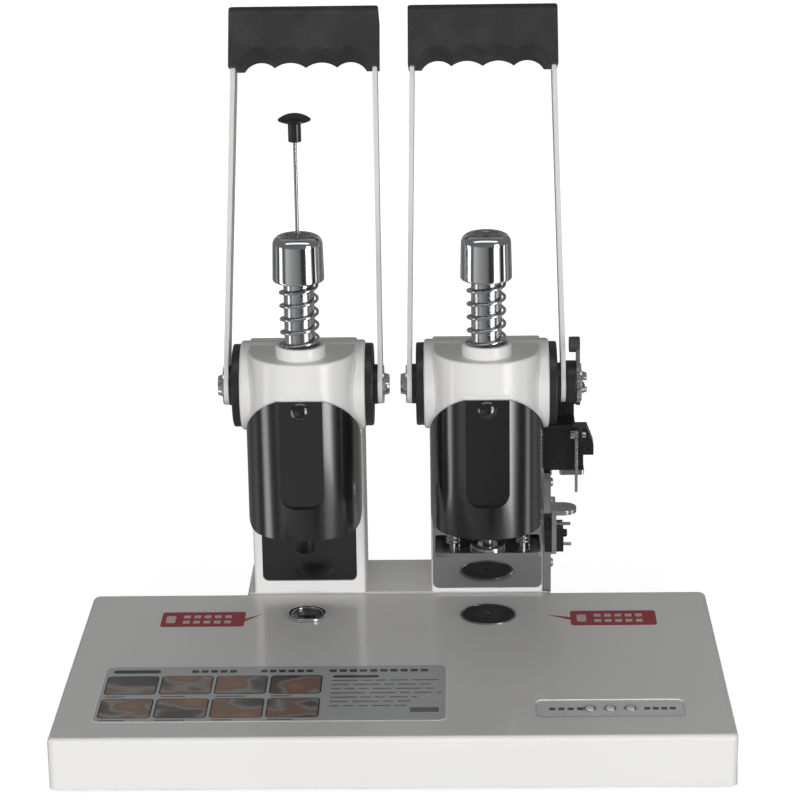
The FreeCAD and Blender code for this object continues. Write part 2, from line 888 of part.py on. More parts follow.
def tangent_arc(start, corner, end):
    """Arc from start to end whose end tangents meet at the corner."""
    middle = (start + end) * 0.5
    half = (end - start).Length / 2.0
    toward = corner - middle
    height = toward.Length
    side = math.hypot(half, height)
    radius = half * side / height
    sagitta = radius - math.sqrt(max(radius * radius - half * half, 0))
    crown = middle + toward * (sagitta / height)
    return Part.Arc(start, crown, end).toShape()


def coil(x, front, low, high, radius, wire, turns):
    """Helical spring whose ends turn upright and meet their seats square."""
    bend = 1.2 * wire
    end_rise = bend + wire
    pitch = (high - low - 2 * end_rise) / turns
    centre = at(x, front, low + end_rise)
    quarter = math.pi / 2
    count = int(round(turns * 4))
    edges = []
    start, start_dir = helix_point(centre, radius, pitch, 0)
    foot_top = start - start_dir * bend - AXIS_Z * bend
    foot_top = V(foot_top.x, foot_top.y, base_top + low + wire)
    foot_low = V(foot_top.x, foot_top.y, base_top + low)
    edges.append(Part.LineSegment(foot_low, foot_top).toShape())
    edges.extend(biarc(foot_top, AXIS_Z, start, start_dir))
    for index in range(count):
        end, end_dir = helix_point(centre, radius, pitch, quarter * (index + 1))
        edges.extend(biarc(start, start_dir, end, end_dir))
        start, start_dir = end, end_dir
    head_low = start + start_dir * bend
    head_low = V(head_low.x, head_low.y, base_top + high - wire)
    head_top = V(head_low.x, head_low.y, base_top + high)
    edges.extend(biarc(start, start_dir, head_low, AXIS_Z))
    edges.append(Part.LineSegment(head_low, head_top).toShape())
    path = Part.Wire(edges)
    ring = Part.Wire([Part.Circle(foot_low, AXIS_Z, wire / 2.0).toShape()])
    solid = path.makePipeShell([ring], True, False)
    report_gap(path, wire)
    return solid


def report_gap(path, wire):
    """Print the least gap between one turn of a coil and the next."""
    points = path.discretize(Distance=wire / 2.0)
    skip = 8
    least = 1e9
    for index, point in enumerate(points):
        for other in points[index + skip:]:
            least = min(least, (point - other).Length)
    print("coil self gap", round(least - wire, 2), "mm, length", round(path.Length, 1), "mm")


def main_spring(x):
    """Return spring between the collar's well and the cap."""
    return coil(x, plunger_front, spring_seat, spring_top, spring_mean_radius, spring_wire, spring_turns)


def lever_point(x, along, across):
    """Point on a lever from its distance up the arm and behind the arm's middle line."""
    return at(x, pivot_front + along * math.sin(lean) + across * math.cos(lean),
              pivot_height + along * math.cos(lean) - across * math.sin(lean))


def arm_direction():
    """Unit vector up the lever's arm."""
    return V(0, math.sin(lean), math.cos(lean))


def across_direction():
    """Unit vector from the front of the lever's arm to its back."""
    return V(0, math.cos(lean), -math.sin(lean))


def lever_strap(x):
    """U-shaped flat strap: two arms with round eyes, stepped in where they enter the grip."""
    step = lever_joggle
    outer = lever_outer
    inner = lever_inner
    low = -lever_eye_radius
    outline = [(outer, low), (outer, lever_joggle_start), (outer - step, lever_joggle_end),
               (outer - step, strap_top), (-outer + step, strap_top), (-outer + step, lever_joggle_end),
               (-outer, lever_joggle_start), (-outer, low), (-inner, low),
               (-inner, lever_joggle_start), (-inner + step, lever_joggle_end),
               (-inner + step, strap_top - lever_thickness), (inner - step, strap_top - lever_thickness),
               (inner - step, lever_joggle_end), (inner, lever_joggle_start), (inner, low)]
    reach = lever_eye_radius + 1
    points = [lever_point(x + across_x, along, -reach) for across_x, along in outline]
    strap = prism(points, across_direction() * (2 * reach))
    corners = strap_corners(strap, x)
    strap = strap.makeFillet(lever_bend_radius, corners)
    return strap.common(strap_side(x)).cut(shaft_hole(x))


def strap_corners(strap, x):
    """Outer edges of the two bends at the top of the strap."""
    found = []
    crown = lever_point(x, strap_top, 0)
    for edge in edges_along(strap, across_direction()):
        middle = edge.CenterOfMass - crown
        along = middle.dot(arm_direction())
        if abs(along) < 0.5:
            found.append(edge)
    return found


def strap_side(x):
    """Side outline of the arms: a round eye that narrows to the arm's width."""
    half = lever_width / 2.0
    eye = lever_eye_radius
    taper = 3.0 * eye
    left = x - lever_outer - 1
    right_run = V(2 * lever_outer + 2, 0, 0)
    low_front = lever_point(left, 0, -eye)
    bottom = lever_point(left, -eye, 0)
    low_back = lever_point(left, 0, eye)
    points = [low_back, lever_point(left, taper, half), lever_point(left, strap_top + 1, half),
              lever_point(left, strap_top + 1, -half), lever_point(left, taper, -half), low_front]
    edges = [Part.Arc(low_front, bottom, low_back).toShape()]
    for start, end in zip(points, points[1:]):
        edges.append(Part.LineSegment(start, end).toShape())
    return Part.Face(Part.Wire(edges)).extrude(right_run)


def shaft_hole(x):
    """Through hole for the shaft's turned ends."""
    return crosswise(x - lever_outer - 2, x + lever_outer + 2, pivot_front, pivot_height,
                     bolt_radius + running_fit)


def grip(x):
    """Moulded grip with four finger scallops along its underside and rounded long edges."""
    depth = grip_depth / 2.0
    edges = grip_outline(x, -depth)
    body = Part.Face(Part.Wire(edges)).extrude(across_direction() * grip_depth)
    return body.common(grip_side(x)).cut(grip_socket(x))


def grip_side(x):
    """Side form of the grip: rounded top edges, and lugs that rise towards the back."""
    left = x - grip_half_width - 1
    depth = grip_depth / 2.0
    soft = grip_edge_radius
    bulge = soft * (1 - math.sqrt(0.5))
    front_low = lever_point(left, grip_bottom - 0.5, -depth)
    front_high = lever_point(left, grip_top - soft, -depth)
    front_crown = lever_point(left, grip_top - bulge, -depth + bulge)
    top_front = lever_point(left, grip_top, -depth + soft)
    top_back = lever_point(left, grip_top, depth - soft)
    back_crown = lever_point(left, grip_top - bulge, depth - bulge)
    back_high = lever_point(left, grip_top - soft, depth)
    back_low = lever_point(left, grip_bottom + grip_lug_slant, depth)
    edges = [Part.LineSegment(front_low, front_high).toShape(),
             Part.Arc(front_high, front_crown, top_front).toShape(),
             Part.LineSegment(top_front, top_back).toShape(),
             Part.Arc(top_back, back_crown, back_high).toShape(),
             Part.LineSegment(back_high, back_low).toShape(),
             Part.LineSegment(back_low, front_low).toShape()]
    return Part.Face(Part.Wire(edges)).extrude(V(2 * grip_half_width + 2, 0, 0))


def grip_outline(x, across):
    """Outline of the grip's front face: straight top and sides, scalloped below."""
    half = grip_half_width
    span = scallop_count * scallop_pitch / 2.0
    lug = grip_lug
    round_top = grip_corner
    edges = []
    for index in range(scallop_count):
        left = x - span + scallop_pitch * index
        first = index == 0
        last = index == scallop_count - 1
        low_left = grip_bottom if first else scallop_cusp
        low_right = grip_bottom if last else scallop_cusp
        left_x = x - half + lug if first else left
        right_x = x + half - lug if last else left + scallop_pitch
        crest = lever_point(left + scallop_pitch / 2.0, scallop_peak, across)
        begin = lever_point(left_x, low_left, across)
        end = lever_point(right_x, low_right, across)
        edges.append(Part.Arc(begin, crest, end).toShape())
    corners = [lever_point(x + half - lug, grip_bottom, across), lever_point(x + half, grip_bottom, across),
               lever_point(x + half, grip_top - round_top, across)]
    top_right = lever_point(x + half - round_top, grip_top, across)
    top_left = lever_point(x - half + round_top, grip_top, across)
    for begin, end in zip(corners, corners[1:]):
        edges.append(Part.LineSegment(begin, end).toShape())
    bulge = round_top * (1 - math.sqrt(0.5))
    edges.append(Part.Arc(corners[-1], lever_point(x + half - bulge, grip_top - bulge, across),
                          top_right).toShape())
    edges.append(Part.LineSegment(top_right, top_left).toShape())
    left_side = lever_point(x - half, grip_top - round_top, across)
    edges.append(Part.Arc(top_left, lever_point(x - half + bulge, grip_top - bulge, across),
                          left_side).toShape())
    left_low = lever_point(x - half, grip_bottom, across)
    edges.append(Part.LineSegment(left_side, left_low).toShape())
    edges.append(Part.LineSegment(left_low, lever_point(x - half + lug, grip_bottom, across)).toShape())
    return edges


def grip_socket(x):
    """Hollow in the grip that takes the strap, with a little room round it."""
    room = seat_gap
    half = lever_width / 2.0 + room
    outer = lever_outer - lever_joggle + room
    inner = lever_inner - lever_joggle - room
    low = grip_bottom - 1
    top = strap_top + room
    under = strap_top - lever_thickness - room
    outline = [(outer, low), (outer, top), (-outer, top), (-outer, low), (-inner, low), (-inner, under),
               (inner, under), (inner, low)]
    points = [lever_point(x + across_x, along, -half) for across_x, along in outline]
    return prism(points, across_direction() * (2 * half))


def shaft(x):
    """Cross shaft with a tapped hole in each end."""
    rod = crosswise(x - lever_inner, x + lever_inner, pivot_front, pivot_height, shaft_radius)
    for side in (-1, 1):
        outer = x + side * lever_inner
        start = min(outer, outer - side * bolt_length)
        rod = rod.cut(crosswise(start, start + bolt_length, pivot_front, pivot_height,
                                bolt_radius + running_fit))
    return rod


def hubs(x):
    """Spacers between the end caps and the lever's arms."""
    inner = boss_half_width + end_cap_length
    solids = []
    for start in (x - lever_inner, x + inner):
        end = start + lever_inner - inner
        disc = crosswise(start, end, pivot_front, pivot_height, hub_radius)
        bore = crosswise(start - 1, end + 1, pivot_front, pivot_height, shaft_radius + running_fit)
        solids.append(disc.cut(bore))
    return group(solids)


def pivot_bolt(x, side, outside):
    """Washer and hexagon bolt in one end of the shaft, outside a stack of the given reach."""
    face = x + side * outside
    washer_end = face + side * washer_thickness
    low = min(face, washer_end)
    washer = crosswise(low, low + washer_thickness, pivot_front, pivot_height, washer_radius)
    washer = washer.cut(crosswise(low - 1, low + 2, pivot_front, pivot_height, bolt_radius + running_fit))
    corner = bolt_across_flats / math.sqrt(3)
    points = []
    for index in range(6):
        angle = math.radians(60 * index + 30)
        points.append(at(washer_end, pivot_front + corner * math.cos(angle),
                         pivot_height + corner * math.sin(angle)))
    head = prism(points, AXIS_X * (side * bolt_head_height))
    crown = Part.makeCone(corner - 0.2, bolt_across_flats / 2.0 - 0.4, bolt_head_height,
                          at(washer_end, pivot_front, pivot_height), AXIS_X * side)
    head = head.common(crown)
    shank_end = x + side * (lever_inner - bolt_length + 2)
    shank_low = min(shank_end, washer_end)
    shank = crosswise(shank_low, shank_low + abs(washer_end - shank_end), pivot_front, pivot_height,
                      bolt_radius)
    return [washer, head.fuse(shank).removeSplitter()]


def left_pivot_bolts():
    """Washers and bolts of the left lever."""
    return group(pivot_bolt(-head_x, -1, lever_outer) + pivot_bolt(-head_x, 1, lever_outer))


def right_pivot_bolts():
    """Washers and bolts of the right lever; the outer one also clamps the trip parts."""
    stack = lever_outer + cam_length + trip_plate_thickness
    return group(pivot_bolt(head_x, -1, lever_outer) + pivot_bolt(head_x, 1, stack))


def left_needle():
    """Thin ejector pin down the bore of the left plunger."""
    return upright(-head_x, plunger_front, needle_tip, needle_stem_bottom + needle_stem_length / 2.0,
                   needle_radius)


def left_needle_knob():
    """Mushroom knob on a short stem."""
    stem_top = needle_stem_bottom + needle_stem_length
    stem = upright(-head_x, plunger_front, needle_stem_bottom, stem_top + 0.5, needle_stem_radius)
    stem = stem.makeFillet(0.6, edges_at(stem, needle_stem_bottom))
    height = needle_knob_height
    reach = needle_knob_radius
    ball = (reach ** 2 + (height * 0.62) ** 2) / (2 * height * 0.62)
    equator = stem_top + height * 0.38
    top = Part.makeSphere(ball, at(-head_x, plunger_front, equator + height * 0.62 - ball))
    under_ball = (reach ** 2 + (height * 0.38) ** 2) / (2 * height * 0.38)
    under = Part.makeSphere(under_ball, at(-head_x, plunger_front, stem_top + under_ball))
    knob = top.common(under)
    rim = [edge for edge in knob.Edges if abs(edge.BoundBox.XLength - 2 * reach) < 0.1]
    knob = knob.makeFillet(0.6, rim)
    socket = upright(-head_x, plunger_front, needle_stem_bottom - 1,
                     needle_stem_bottom + needle_stem_length / 2.0, needle_radius + seat_gap)
    return stem.fuse(knob).cut(socket).removeSplitter()


def left_nozzle():
    """Bright heated nozzle at the foot of the left plunger."""
    top = nozzle_bottom + nozzle_height
    body = upright(-head_x, plunger_front, nozzle_bottom, top, nozzle_radius)
    body = body.makeFillet(1.0, edges_at(body, nozzle_bottom))
    tip_room = upright(-head_x, plunger_front, nozzle_bottom - 1, rod_bottom - 2, tip_radius + running_fit)
    rod_room = upright(-head_x, plunger_front, rod_bottom, top + 1, rod_radius + seat_gap)
    through = upright(-head_x, plunger_front, nozzle_bottom, top, rod_bore_radius)
    return body.cut(tip_room).cut(rod_room).cut(through)


def left_heater_tip():
    """Dark tip that forms the rivet's head, let into the nozzle."""
    tip = upright(-head_x, plunger_front, tip_bottom, rod_bottom - 2, tip_radius)
    tip = tip.makeFillet(1.2, edges_at(tip, tip_bottom))
    return tip.cut(upright(-head_x, plunger_front, tip_bottom - 1, rod_bottom, tip_bore_radius))


def left_die_ring():
    """Bright ring standing out of the base round the riveting anvil."""
    low = -die_depth + 0.5
    ring = tube(-head_x, plunger_front, low, die_ring_rise, die_ring_radius, die_ring_bore)
    return ring.makeFillet(1.0, edges_at(ring, die_ring_rise))


def left_anvil():
    """Dished dark anvil with a bored pip in its middle."""
    top = -die_dish_drop + die_pip_rise
    rim = die_ring_bore - running_fit
    outline = [(needle_radius + 0.5, -die_depth), (rim, -die_depth), (rim, 0.3), (rim - 1.0, 0.3),
               (rim - 2.5, -die_dish_drop), (die_pip_radius + 0.8, -die_dish_drop),
               (die_pip_radius, top), (needle_radius + 0.5, top)]
    return revolve(-head_x, plunger_front, outline)


def right_pad_ring():
    """Thin bright ring round the cutting pad."""
    low = -pad_depth + 0.5
    ring = tube(head_x, plunger_front, low, pad_ring_rise, pad_ring_radius, pad_ring_bore)
    return ring.makeFillet(0.3, edges_at(ring, pad_ring_rise))


def right_cutting_pad():
    """Round black pad that the punch meets, with a shallow worn hollow."""
    rim = pad_ring_bore - running_fit
    outline = [(0, -pad_depth), (rim, -pad_depth), (rim, pad_rise - 0.8), (rim - 0.8, pad_rise),
               (2.2, pad_rise), (1.6, pad_rise - 0.5), (0, pad_rise - 0.5)]
    return revolve(head_x, plunger_front, outline)


def guide_places():
    """Axes of the two guide screws of the press plate."""
    half = guide_spacing / 2.0
    return [(head_x - half, plunger_front), (head_x + half, plunger_front)]


def right_crosshead():
    """Bar clamped on the foot of the right plunger."""
    half = crosshead_width / 2.0
    deep = crosshead_depth / 2.0
    top = crosshead_bottom + crosshead_height
    bar = rounded_plate(head_x - half, head_x + half, plunger_front - deep, plunger_front + deep,
                        crosshead_bottom, top, deep * 0.6)
    sleeve = upright(head_x, plunger_front, crosshead_bottom, top + 5, rod_radius + 4)
    bar = bar.fuse(sleeve)
    bar = bar.cut(upright(head_x, plunger_front, rod_bottom, top + 6, rod_radius + seat_gap))
    bar = bar.cut(upright(head_x, plunger_front, crosshead_bottom - 1, rod_bottom + 1,
                          punch_shank_radius + seat_gap))
    for x, front in guide_places():
        bar = bar.cut(upright(x, front, crosshead_bottom - 1, top + 1, guide_radius + running_fit))
    return bar.removeSplitter()


def right_punch():
    """Hollow punch with a ground cutting edge."""
    outline = [(punch_bore_radius, punch_tip), (punch_bore_radius + 0.15, punch_tip),
               (punch_radius, punch_tip + 3.0), (punch_radius, crosshead_bottom - 6),
               (punch_shank_radius, crosshead_bottom - 4), (punch_shank_radius, rod_bottom),
               (punch_bore_radius, rod_bottom)]
    return revolve(head_x, plunger_front, outline)


def right_press_plate():
    """Polished plate that holds the sheets down and strips them off the punch."""
    half = press_plate_width / 2.0
    front = plunger_front - press_plate_front
    top = press_plate_bottom + press_plate_thickness
    plate = rounded_plate(head_x - half, head_x + half, front, front + press_plate_depth,
                          press_plate_bottom, top, 2.0)
    plate = plate.cut(upright(head_x, plunger_front, press_plate_bottom - 1, top + 1, press_plate_hole))
    for x, y in guide_places():
        plate = plate.cut(upright(x, y, press_plate_bottom - 1, top + 1, guide_radius + seat_gap))
    return plate


def right_guide_bush():
    """Bright ring on the press plate round the punch."""
    low = press_plate_bottom + press_plate_thickness
    ring = tube(head_x, plunger_front, low, low + bush_height, bush_radius, press_plate_hole)
    return ring.makeFillet(0.8, edges_at(ring, low + bush_height)[:1])


def right_guide_screws():
    """Two screws that hang the press plate from the crosshead."""
    solids = []
    top = crosshead_bottom + crosshead_height
    for x, front in guide_places():
        shank = upright(x, front, press_plate_bottom, top + 0.5, guide_radius)
        head = upright(x, front, top, top + guide_head_height, guide_head_radius)
        head = head.makeFillet(0.6, edges_at(head, top + guide_head_height))
        solids.append(shank.fuse(head).removeSplitter())
    return group(solids)


def right_guide_springs():
    """Springs round the guide screws, between the press plate and the crosshead."""
    low = press_plate_bottom + press_plate_thickness
    solids = []
    for x, front in guide_places():
        solids.append(coil(x, front, low, crosshead_bottom, guide_spring_radius, guide_spring_wire,
                           guide_spring_turns))
    return group(solids)


def trip_cam():
    """Black spacer clamped outside the right lever's outer arm, with a raised lobe."""
    start = head_x + lever_outer
    body = crosswise(start, start + cam_length, pivot_front, pivot_height, cam_radius)
    body = body.makeFillet(0.8, ring_edges(body))
    hole = crosswise(start - 1, start + cam_length + 1, pivot_front, pivot_height,
                     bolt_radius + running_fit)
    return body.cut(hole)


def trip_plate_start():
    """Inner face of the trip plate along X."""
    return head_x + lever_outer + cam_length


def trip_plate():
    """Upright plate with rounded ends that turns with the right lever."""
    start = trip_plate_start()
    half = trip_plate_width / 2.0
    top = pivot_height + trip_plate_top
    neck = trip_knob_radius - 1.0
    low_left = at(start, pivot_front - trip_plate_low, pivot_height)
    low_right = at(start, pivot_front + trip_plate_low, pivot_height)
    lowest = at(start, pivot_front, pivot_height - trip_plate_low)
    shoulder_left = at(start, pivot_front - half, pivot_height + trip_plate_low * 0.8)
    shoulder_right = at(start, pivot_front + half, pivot_height + trip_plate_low * 0.8)
    neck_left = at(start, pivot_front - neck, top)
    neck_right = at(start, pivot_front + neck, top)
    crown = at(start, pivot_front, top + neck)
    edges = [Part.Arc(low_left, lowest, low_right).toShape(),
             Part.LineSegment(low_right, shoulder_right).toShape(),
             Part.LineSegment(shoulder_right, neck_right).toShape(),
             Part.Arc(neck_right, crown, neck_left).toShape(),
             Part.LineSegment(neck_left, shoulder_left).toShape(),
             Part.LineSegment(shoulder_left, low_left).toShape()]
    plate = Part.Face(Part.Wire(edges)).extrude(V(trip_plate_thickness, 0, 0))
    hole = crosswise(start - 1, start + trip_plate_thickness + 1, pivot_front, pivot_height,
                     bolt_radius + running_fit)
    return plate.cut(hole)


def trip_knob():
    """Dark moulded knob gripping the top of the trip plate."""
    start = trip_plate_start() - trip_knob_length + trip_plate_thickness
    knob = crosswise(start, start + trip_knob_length, pivot_front, pivot_height + trip_plate_top,
                     trip_knob_radius)
    knob = knob.makeFillet(0.8, ring_edges(knob))
    return knob.cut(trip_plate())


def switch_housing():
    """Black moulded switch body on the outer side of the right post."""
    inner = column_outer
    body = box(inner, housing_outer, housing_front, housing_back, housing_bottom, housing_top)
    body = body.makeFillet(1.5, [edge for edge in edges_along(body, AXIS_Z)
                                 if edge.BoundBox.XMin > housing_outer - 1])
    tower = box(inner + slide_gap * 10, housing_outer, housing_tower_front, housing_back,
                housing_top - 1, housing_tower_top)
    nose_start = housing_outer - 0.5
    face = housing_front + housing_nose_setback
    nose = [at(nose_start, face, housing_nose_bottom),
            at(housing_nose_outer, face, housing_nose_bottom),
            at(housing_nose_outer, face, housing_nose_bottom + housing_nose_step),
            at(housing_nose_outer - housing_nose_slope, face, housing_nose_top),
            at(nose_start, face, housing_nose_top)]
    nose_solid = prism(nose, V(0, housing_nose_depth, 0))
    foot_block = box(nose_start, housing_foot_outer, face, face + housing_nose_depth,
                     housing_bottom, housing_nose_bottom + 0.5)
    ear = box(blade_x + blade_thickness + slide_gap, blade_x + blade_thickness + slide_gap + 2.4,
              housing_front - blade_width - 1.5, housing_front + 5,
              blade_pin_height - blade_width / 2.0 - 1, blade_pin_height + blade_width / 2.0)
    body = body.fuse([tower, nose_solid, foot_block, ear])
    pin = blade_pin_solid(running_fit)
    return body.cut(pin).cut(housing_ribs()).removeSplitter()


def housing_ribs():
    """Shallow grooves across the outer face of the housing's nose."""
    cutters = []
    for index in range(3):
        low = housing_nose_bottom + 3.5 + 5.0 * index
        cutters.append(box(housing_nose_outer - housing_nose_slope - 1.5, housing_nose_outer + 1,
                           housing_front + 3, housing_front + housing_nose_setback + 0.8, low, low + 1.2))
    return cutters[0].fuse(cutters[1:])


def blade_front():
    """Distance of the blade's pin behind the front edge."""
    return housing_front - blade_width / 2.0 - 1.0


def blade_pin_solid(room):
    """Cylinder of the blade's pin, with a room added to its radius."""
    start = blade_x - 1.6
    return crosswise(start, start + blade_pin_length, blade_front(), blade_pin_height,
                     blade_pin_radius + room)


def blade_pin():
    """Bright pin, headed at its inner end, that the blade swings on."""
    head = crosswise(blade_x - 3.0, blade_x - slide_gap, blade_front(), blade_pin_height,
                     blade_pin_radius + 0.8)
    shank = crosswise(blade_x - slide_gap - 0.1, blade_x + blade_pin_length - 1.6, blade_front(),
                      blade_pin_height, blade_pin_radius)
    return head.fuse(shank).removeSplitter()


def switch_blade():
    """Thin grey blade hanging from the pin, tapered to a round tip."""
    front = blade_front()
    eye = blade_width / 2.0
    tip = eye * 0.6
    low = blade_tip + tip
    edges = [Part.Arc(at(blade_x, front + eye, blade_pin_height),
                      at(blade_x, front, blade_pin_height + eye),
                      at(blade_x, front - eye, blade_pin_height)).toShape(),
             Part.LineSegment(at(blade_x, front - eye, blade_pin_height),
                              at(blade_x, front - tip, low)).toShape(),
             Part.Arc(at(blade_x, front - tip, low), at(blade_x, front, blade_tip),
                      at(blade_x, front + tip, low)).toShape(),
             Part.LineSegment(at(blade_x, front + tip, low),
                              at(blade_x, front + eye, blade_pin_height)).toShape()]
    blade = Part.Face(Part.Wire(edges)).extrude(V(blade_thickness, 0, 0))
    return blade.cut(crosswise(blade_x - 1, blade_x + blade_thickness + 1, front, blade_pin_height,
                               blade_pin_radius + running_fit))


def latch_plate():
    """Bright plate screwed under the switch housing."""
    front = housing_front
    plate = rounded_plate(latch_plate_inner, latch_plate_outer, front, front + 20,
                          latch_plate_bottom, housing_bottom, 1.5)
    return plate


def switch_bracket():
    """Bent steel bracket on the side plate, its top turned outwards in a round-ended tab."""
    inner = side_plate_outer
    front = microswitch_front - bracket_margin
    low = microswitch_bottom - 2.5 * bracket_margin
    wall = box(inner, inner + tab_thickness, front, bracket_back, low, tab_top)
    low_corner = [edge for edge in edges_along(wall, AXIS_X)
                  if edge.BoundBox.ZMax < base_top + low + 1]
    wall = wall.makeFillet(bracket_corner_radius, low_corner)
    half = tab_half_width
    middle = front + half
    start = at(inner, middle - half, tab_top - tab_thickness)
    outer_low = at(tab_outer - half, middle - half, tab_top - tab_thickness)
    outer_mid = at(tab_outer, middle, tab_top - tab_thickness)
    outer_high = at(tab_outer - half, middle + half, tab_top - tab_thickness)
    end = at(inner, middle + half, tab_top - tab_thickness)
    edges = [Part.LineSegment(start, outer_low).toShape(), Part.Arc(outer_low, outer_mid, outer_high).toShape(),
             Part.LineSegment(outer_high, end).toShape(), Part.LineSegment(end, start).toShape()]
    tab = Part.Face(Part.Wire(edges)).extrude(V(0, 0, tab_thickness))
    hole = upright(tab_outer - half, middle, tab_top - tab_thickness - 1, tab_top + 1,
                   tab_hole_radius)
    return wall.fuse(tab).cut(hole).removeSplitter()


def switch_face():
    """Outer face of the bracket's upright wall along X."""
    return side_plate_outer + tab_thickness


def microswitch():
    """Snap switch body with a hole for its button, and the block behind its bracket."""
    start = switch_face()
    front = microswitch_front
    face = start + microswitch_thickness
    body = box(start, face, front, front + microswitch_depth, microswitch_bottom, microswitch_top)
    body = body.makeFillet(0.6, edges_along(body, AXIS_X))
    hole = crosswise(face - switch_button_hole, face + 1, front + switch_button_setback, button_mid(),
                     switch_button_radius + running_fit)
    spacer = box(column_outer + spacer_gap, side_plate_outer, front, column_front, microswitch_bottom,
                 microswitch_top)
    return group([body.cut(hole), spacer])


def button_mid():
    """Height of the switch's button."""
    return (microswitch_bottom + microswitch_top) / 2.0 + switch_button_rise


def switch_button():
    """Small round-ended button of the snap switch."""
    start = switch_face() + microswitch_thickness - switch_button_sunk
    front = microswitch_front + switch_button_setback
    length = switch_button_sunk + switch_button_length
    pin = crosswise(start, start + length, front, button_mid(), switch_button_radius)
    outer = [edge for edge in ring_edges(pin) if edge.BoundBox.XMin > start + 1]
    return pin.makeFillet(1.2, outer)


def switch_terminals():
    """Two bright terminal pins beside the snap switch."""
    start = switch_face()
    face = start + microswitch_thickness
    front = microswitch_front + terminal_setback
    high = crosswise(start, face + microswitch_thickness, front, terminal_high, terminal_radius)
    low = crosswise(face, face + terminal_length, front, terminal_low, terminal_radius)
    return group([high, low])


def side_screws():
    """Round-headed screws that hold the bracket and the side plate."""
    solids = []
    for front in (column_front + 22, column_front + side_plate_depth - 10):
        for height in (12.0, side_plate_top - 16):
            solids.append(screw_head(side_plate_outer, front, height))
    start = switch_face()
    for height in (tab_top - 8.5, microswitch_bottom + 4.0):
        solids.append(screw_head(start, column_front + 8, height))
    return group(solids)


def screw_head(start, front, height):
    """Domed screw head standing out along X."""
    head = crosswise(start, start + side_screw_height, front, height, side_screw_radius)
    outer = [edge for edge in ring_edges(head) if edge.BoundBox.XMin > start + 1]
    return head.makeFillet(1.4, outer)


def nodes():
    """Every node of the machine with its name."""
    left = -head_x
    right = head_x
    return {
        "base_shell": base_shell(), "rear_deck": rear_deck(), "bottom_plates": bottom_plates(),
        "feet": feet(), "status_lamps": lamps(),
        "left_column": left_column(), "left_column_panel": left_column_panel(),
        "right_column": right_column(), "right_mirror_plate": right_mirror_plate(),
        "side_plate": side_plate(), "side_screws": side_screws(),
        "left_head_casting": head_casting(left), "right_head_casting": head_casting(right),
        "left_cover": cover(left), "right_cover": cover(right), "cover_buttons": cover_buttons(),
        "end_caps": end_caps(), "latch_plate": latch_plate(), "switch_terminals": switch_terminals(),
        "left_shaft": shaft(left), "right_shaft": shaft(right),
        "left_pinion": pinion(left), "right_pinion": pinion(right),
        "left_hubs": hubs(left), "right_hubs": hubs(right),
        "left_pivot_bolts": left_pivot_bolts(), "right_pivot_bolts": right_pivot_bolts(),
        "left_lever_strap": lever_strap(left), "right_lever_strap": lever_strap(right),
        "left_grip": grip(left), "right_grip": grip(right),
        "left_plunger": plunger(left), "right_plunger": plunger(right),
        "left_cap": cap(left), "right_cap": cap(right),
        "left_spring": main_spring(left), "right_spring": main_spring(right),
        "left_needle": left_needle(), "left_needle_knob": left_needle_knob(),
        "left_nozzle": left_nozzle(), "left_heater_tip": left_heater_tip(),
        "left_die_ring": left_die_ring(), "left_anvil": left_anvil(),
        "right_pad_ring": right_pad_ring(), "right_cutting_pad": right_cutting_pad(),
        "right_crosshead": right_crosshead(), "right_punch": right_punch(),
        "right_press_plate": right_press_plate(), "right_guide_bush": right_guide_bush(),
        "right_guide_screws": right_guide_screws(), "right_guide_springs": right_guide_springs(),
        "trip_cam": trip_cam(), "trip_plate": trip_plate(), "trip_knob": trip_knob(),
        "switch_housing": switch_housing(), "switch_blade": switch_blade(), "blade_pin": blade_pin(),
        "switch_bracket": switch_bracket(), "microswitch": microswitch(),
        "switch_button": switch_button(),
    }


def main():
    """Write one file for each node."""
    os.makedirs("parts", exist_ok=True)
    for name, shape in nodes().items():
        shape.exportStep("parts/" + name + ".step")
        if not shape.isValid():
            print("not valid", name)
    pivot = at(0, pivot_front, pivot_height)
    print("pivot y z", round(pivot.y, 3), round(pivot.z, 3), "lever swing", round(lever_swing, 3))
    print("spring seat z", round(base_top + spring_seat, 3), "front y", round(front_y, 3))


main()
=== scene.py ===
"""Looks of a two-head document riveting machine: paint, steel, plastics, printed films and a studio."""

import json
import math

import bmesh
import bpy
from bpy.props import FloatProperty, FloatVectorProperty, IntProperty, PointerProperty
from mathutils import Matrix, Vector


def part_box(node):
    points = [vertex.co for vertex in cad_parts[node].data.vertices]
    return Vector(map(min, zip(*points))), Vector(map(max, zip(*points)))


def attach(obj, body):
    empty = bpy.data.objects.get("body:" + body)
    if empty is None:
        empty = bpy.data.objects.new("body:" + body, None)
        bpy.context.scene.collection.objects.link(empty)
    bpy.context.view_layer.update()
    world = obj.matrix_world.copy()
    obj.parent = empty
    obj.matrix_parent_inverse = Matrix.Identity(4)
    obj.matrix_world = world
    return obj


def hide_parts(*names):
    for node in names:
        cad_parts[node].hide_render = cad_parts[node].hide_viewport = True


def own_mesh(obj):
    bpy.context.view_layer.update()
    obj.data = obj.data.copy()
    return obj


bl_info = {
    "name": "Document riveting machine looks",
    "version": (1, 0, 0),
    "blender": (4, 5, 0),
    "location": "View3D > Sidebar > Riveting machine",
    "description": "Finishes, printed films, small trim and a studio for a two-head riveting machine",
    "category": "Object",
}

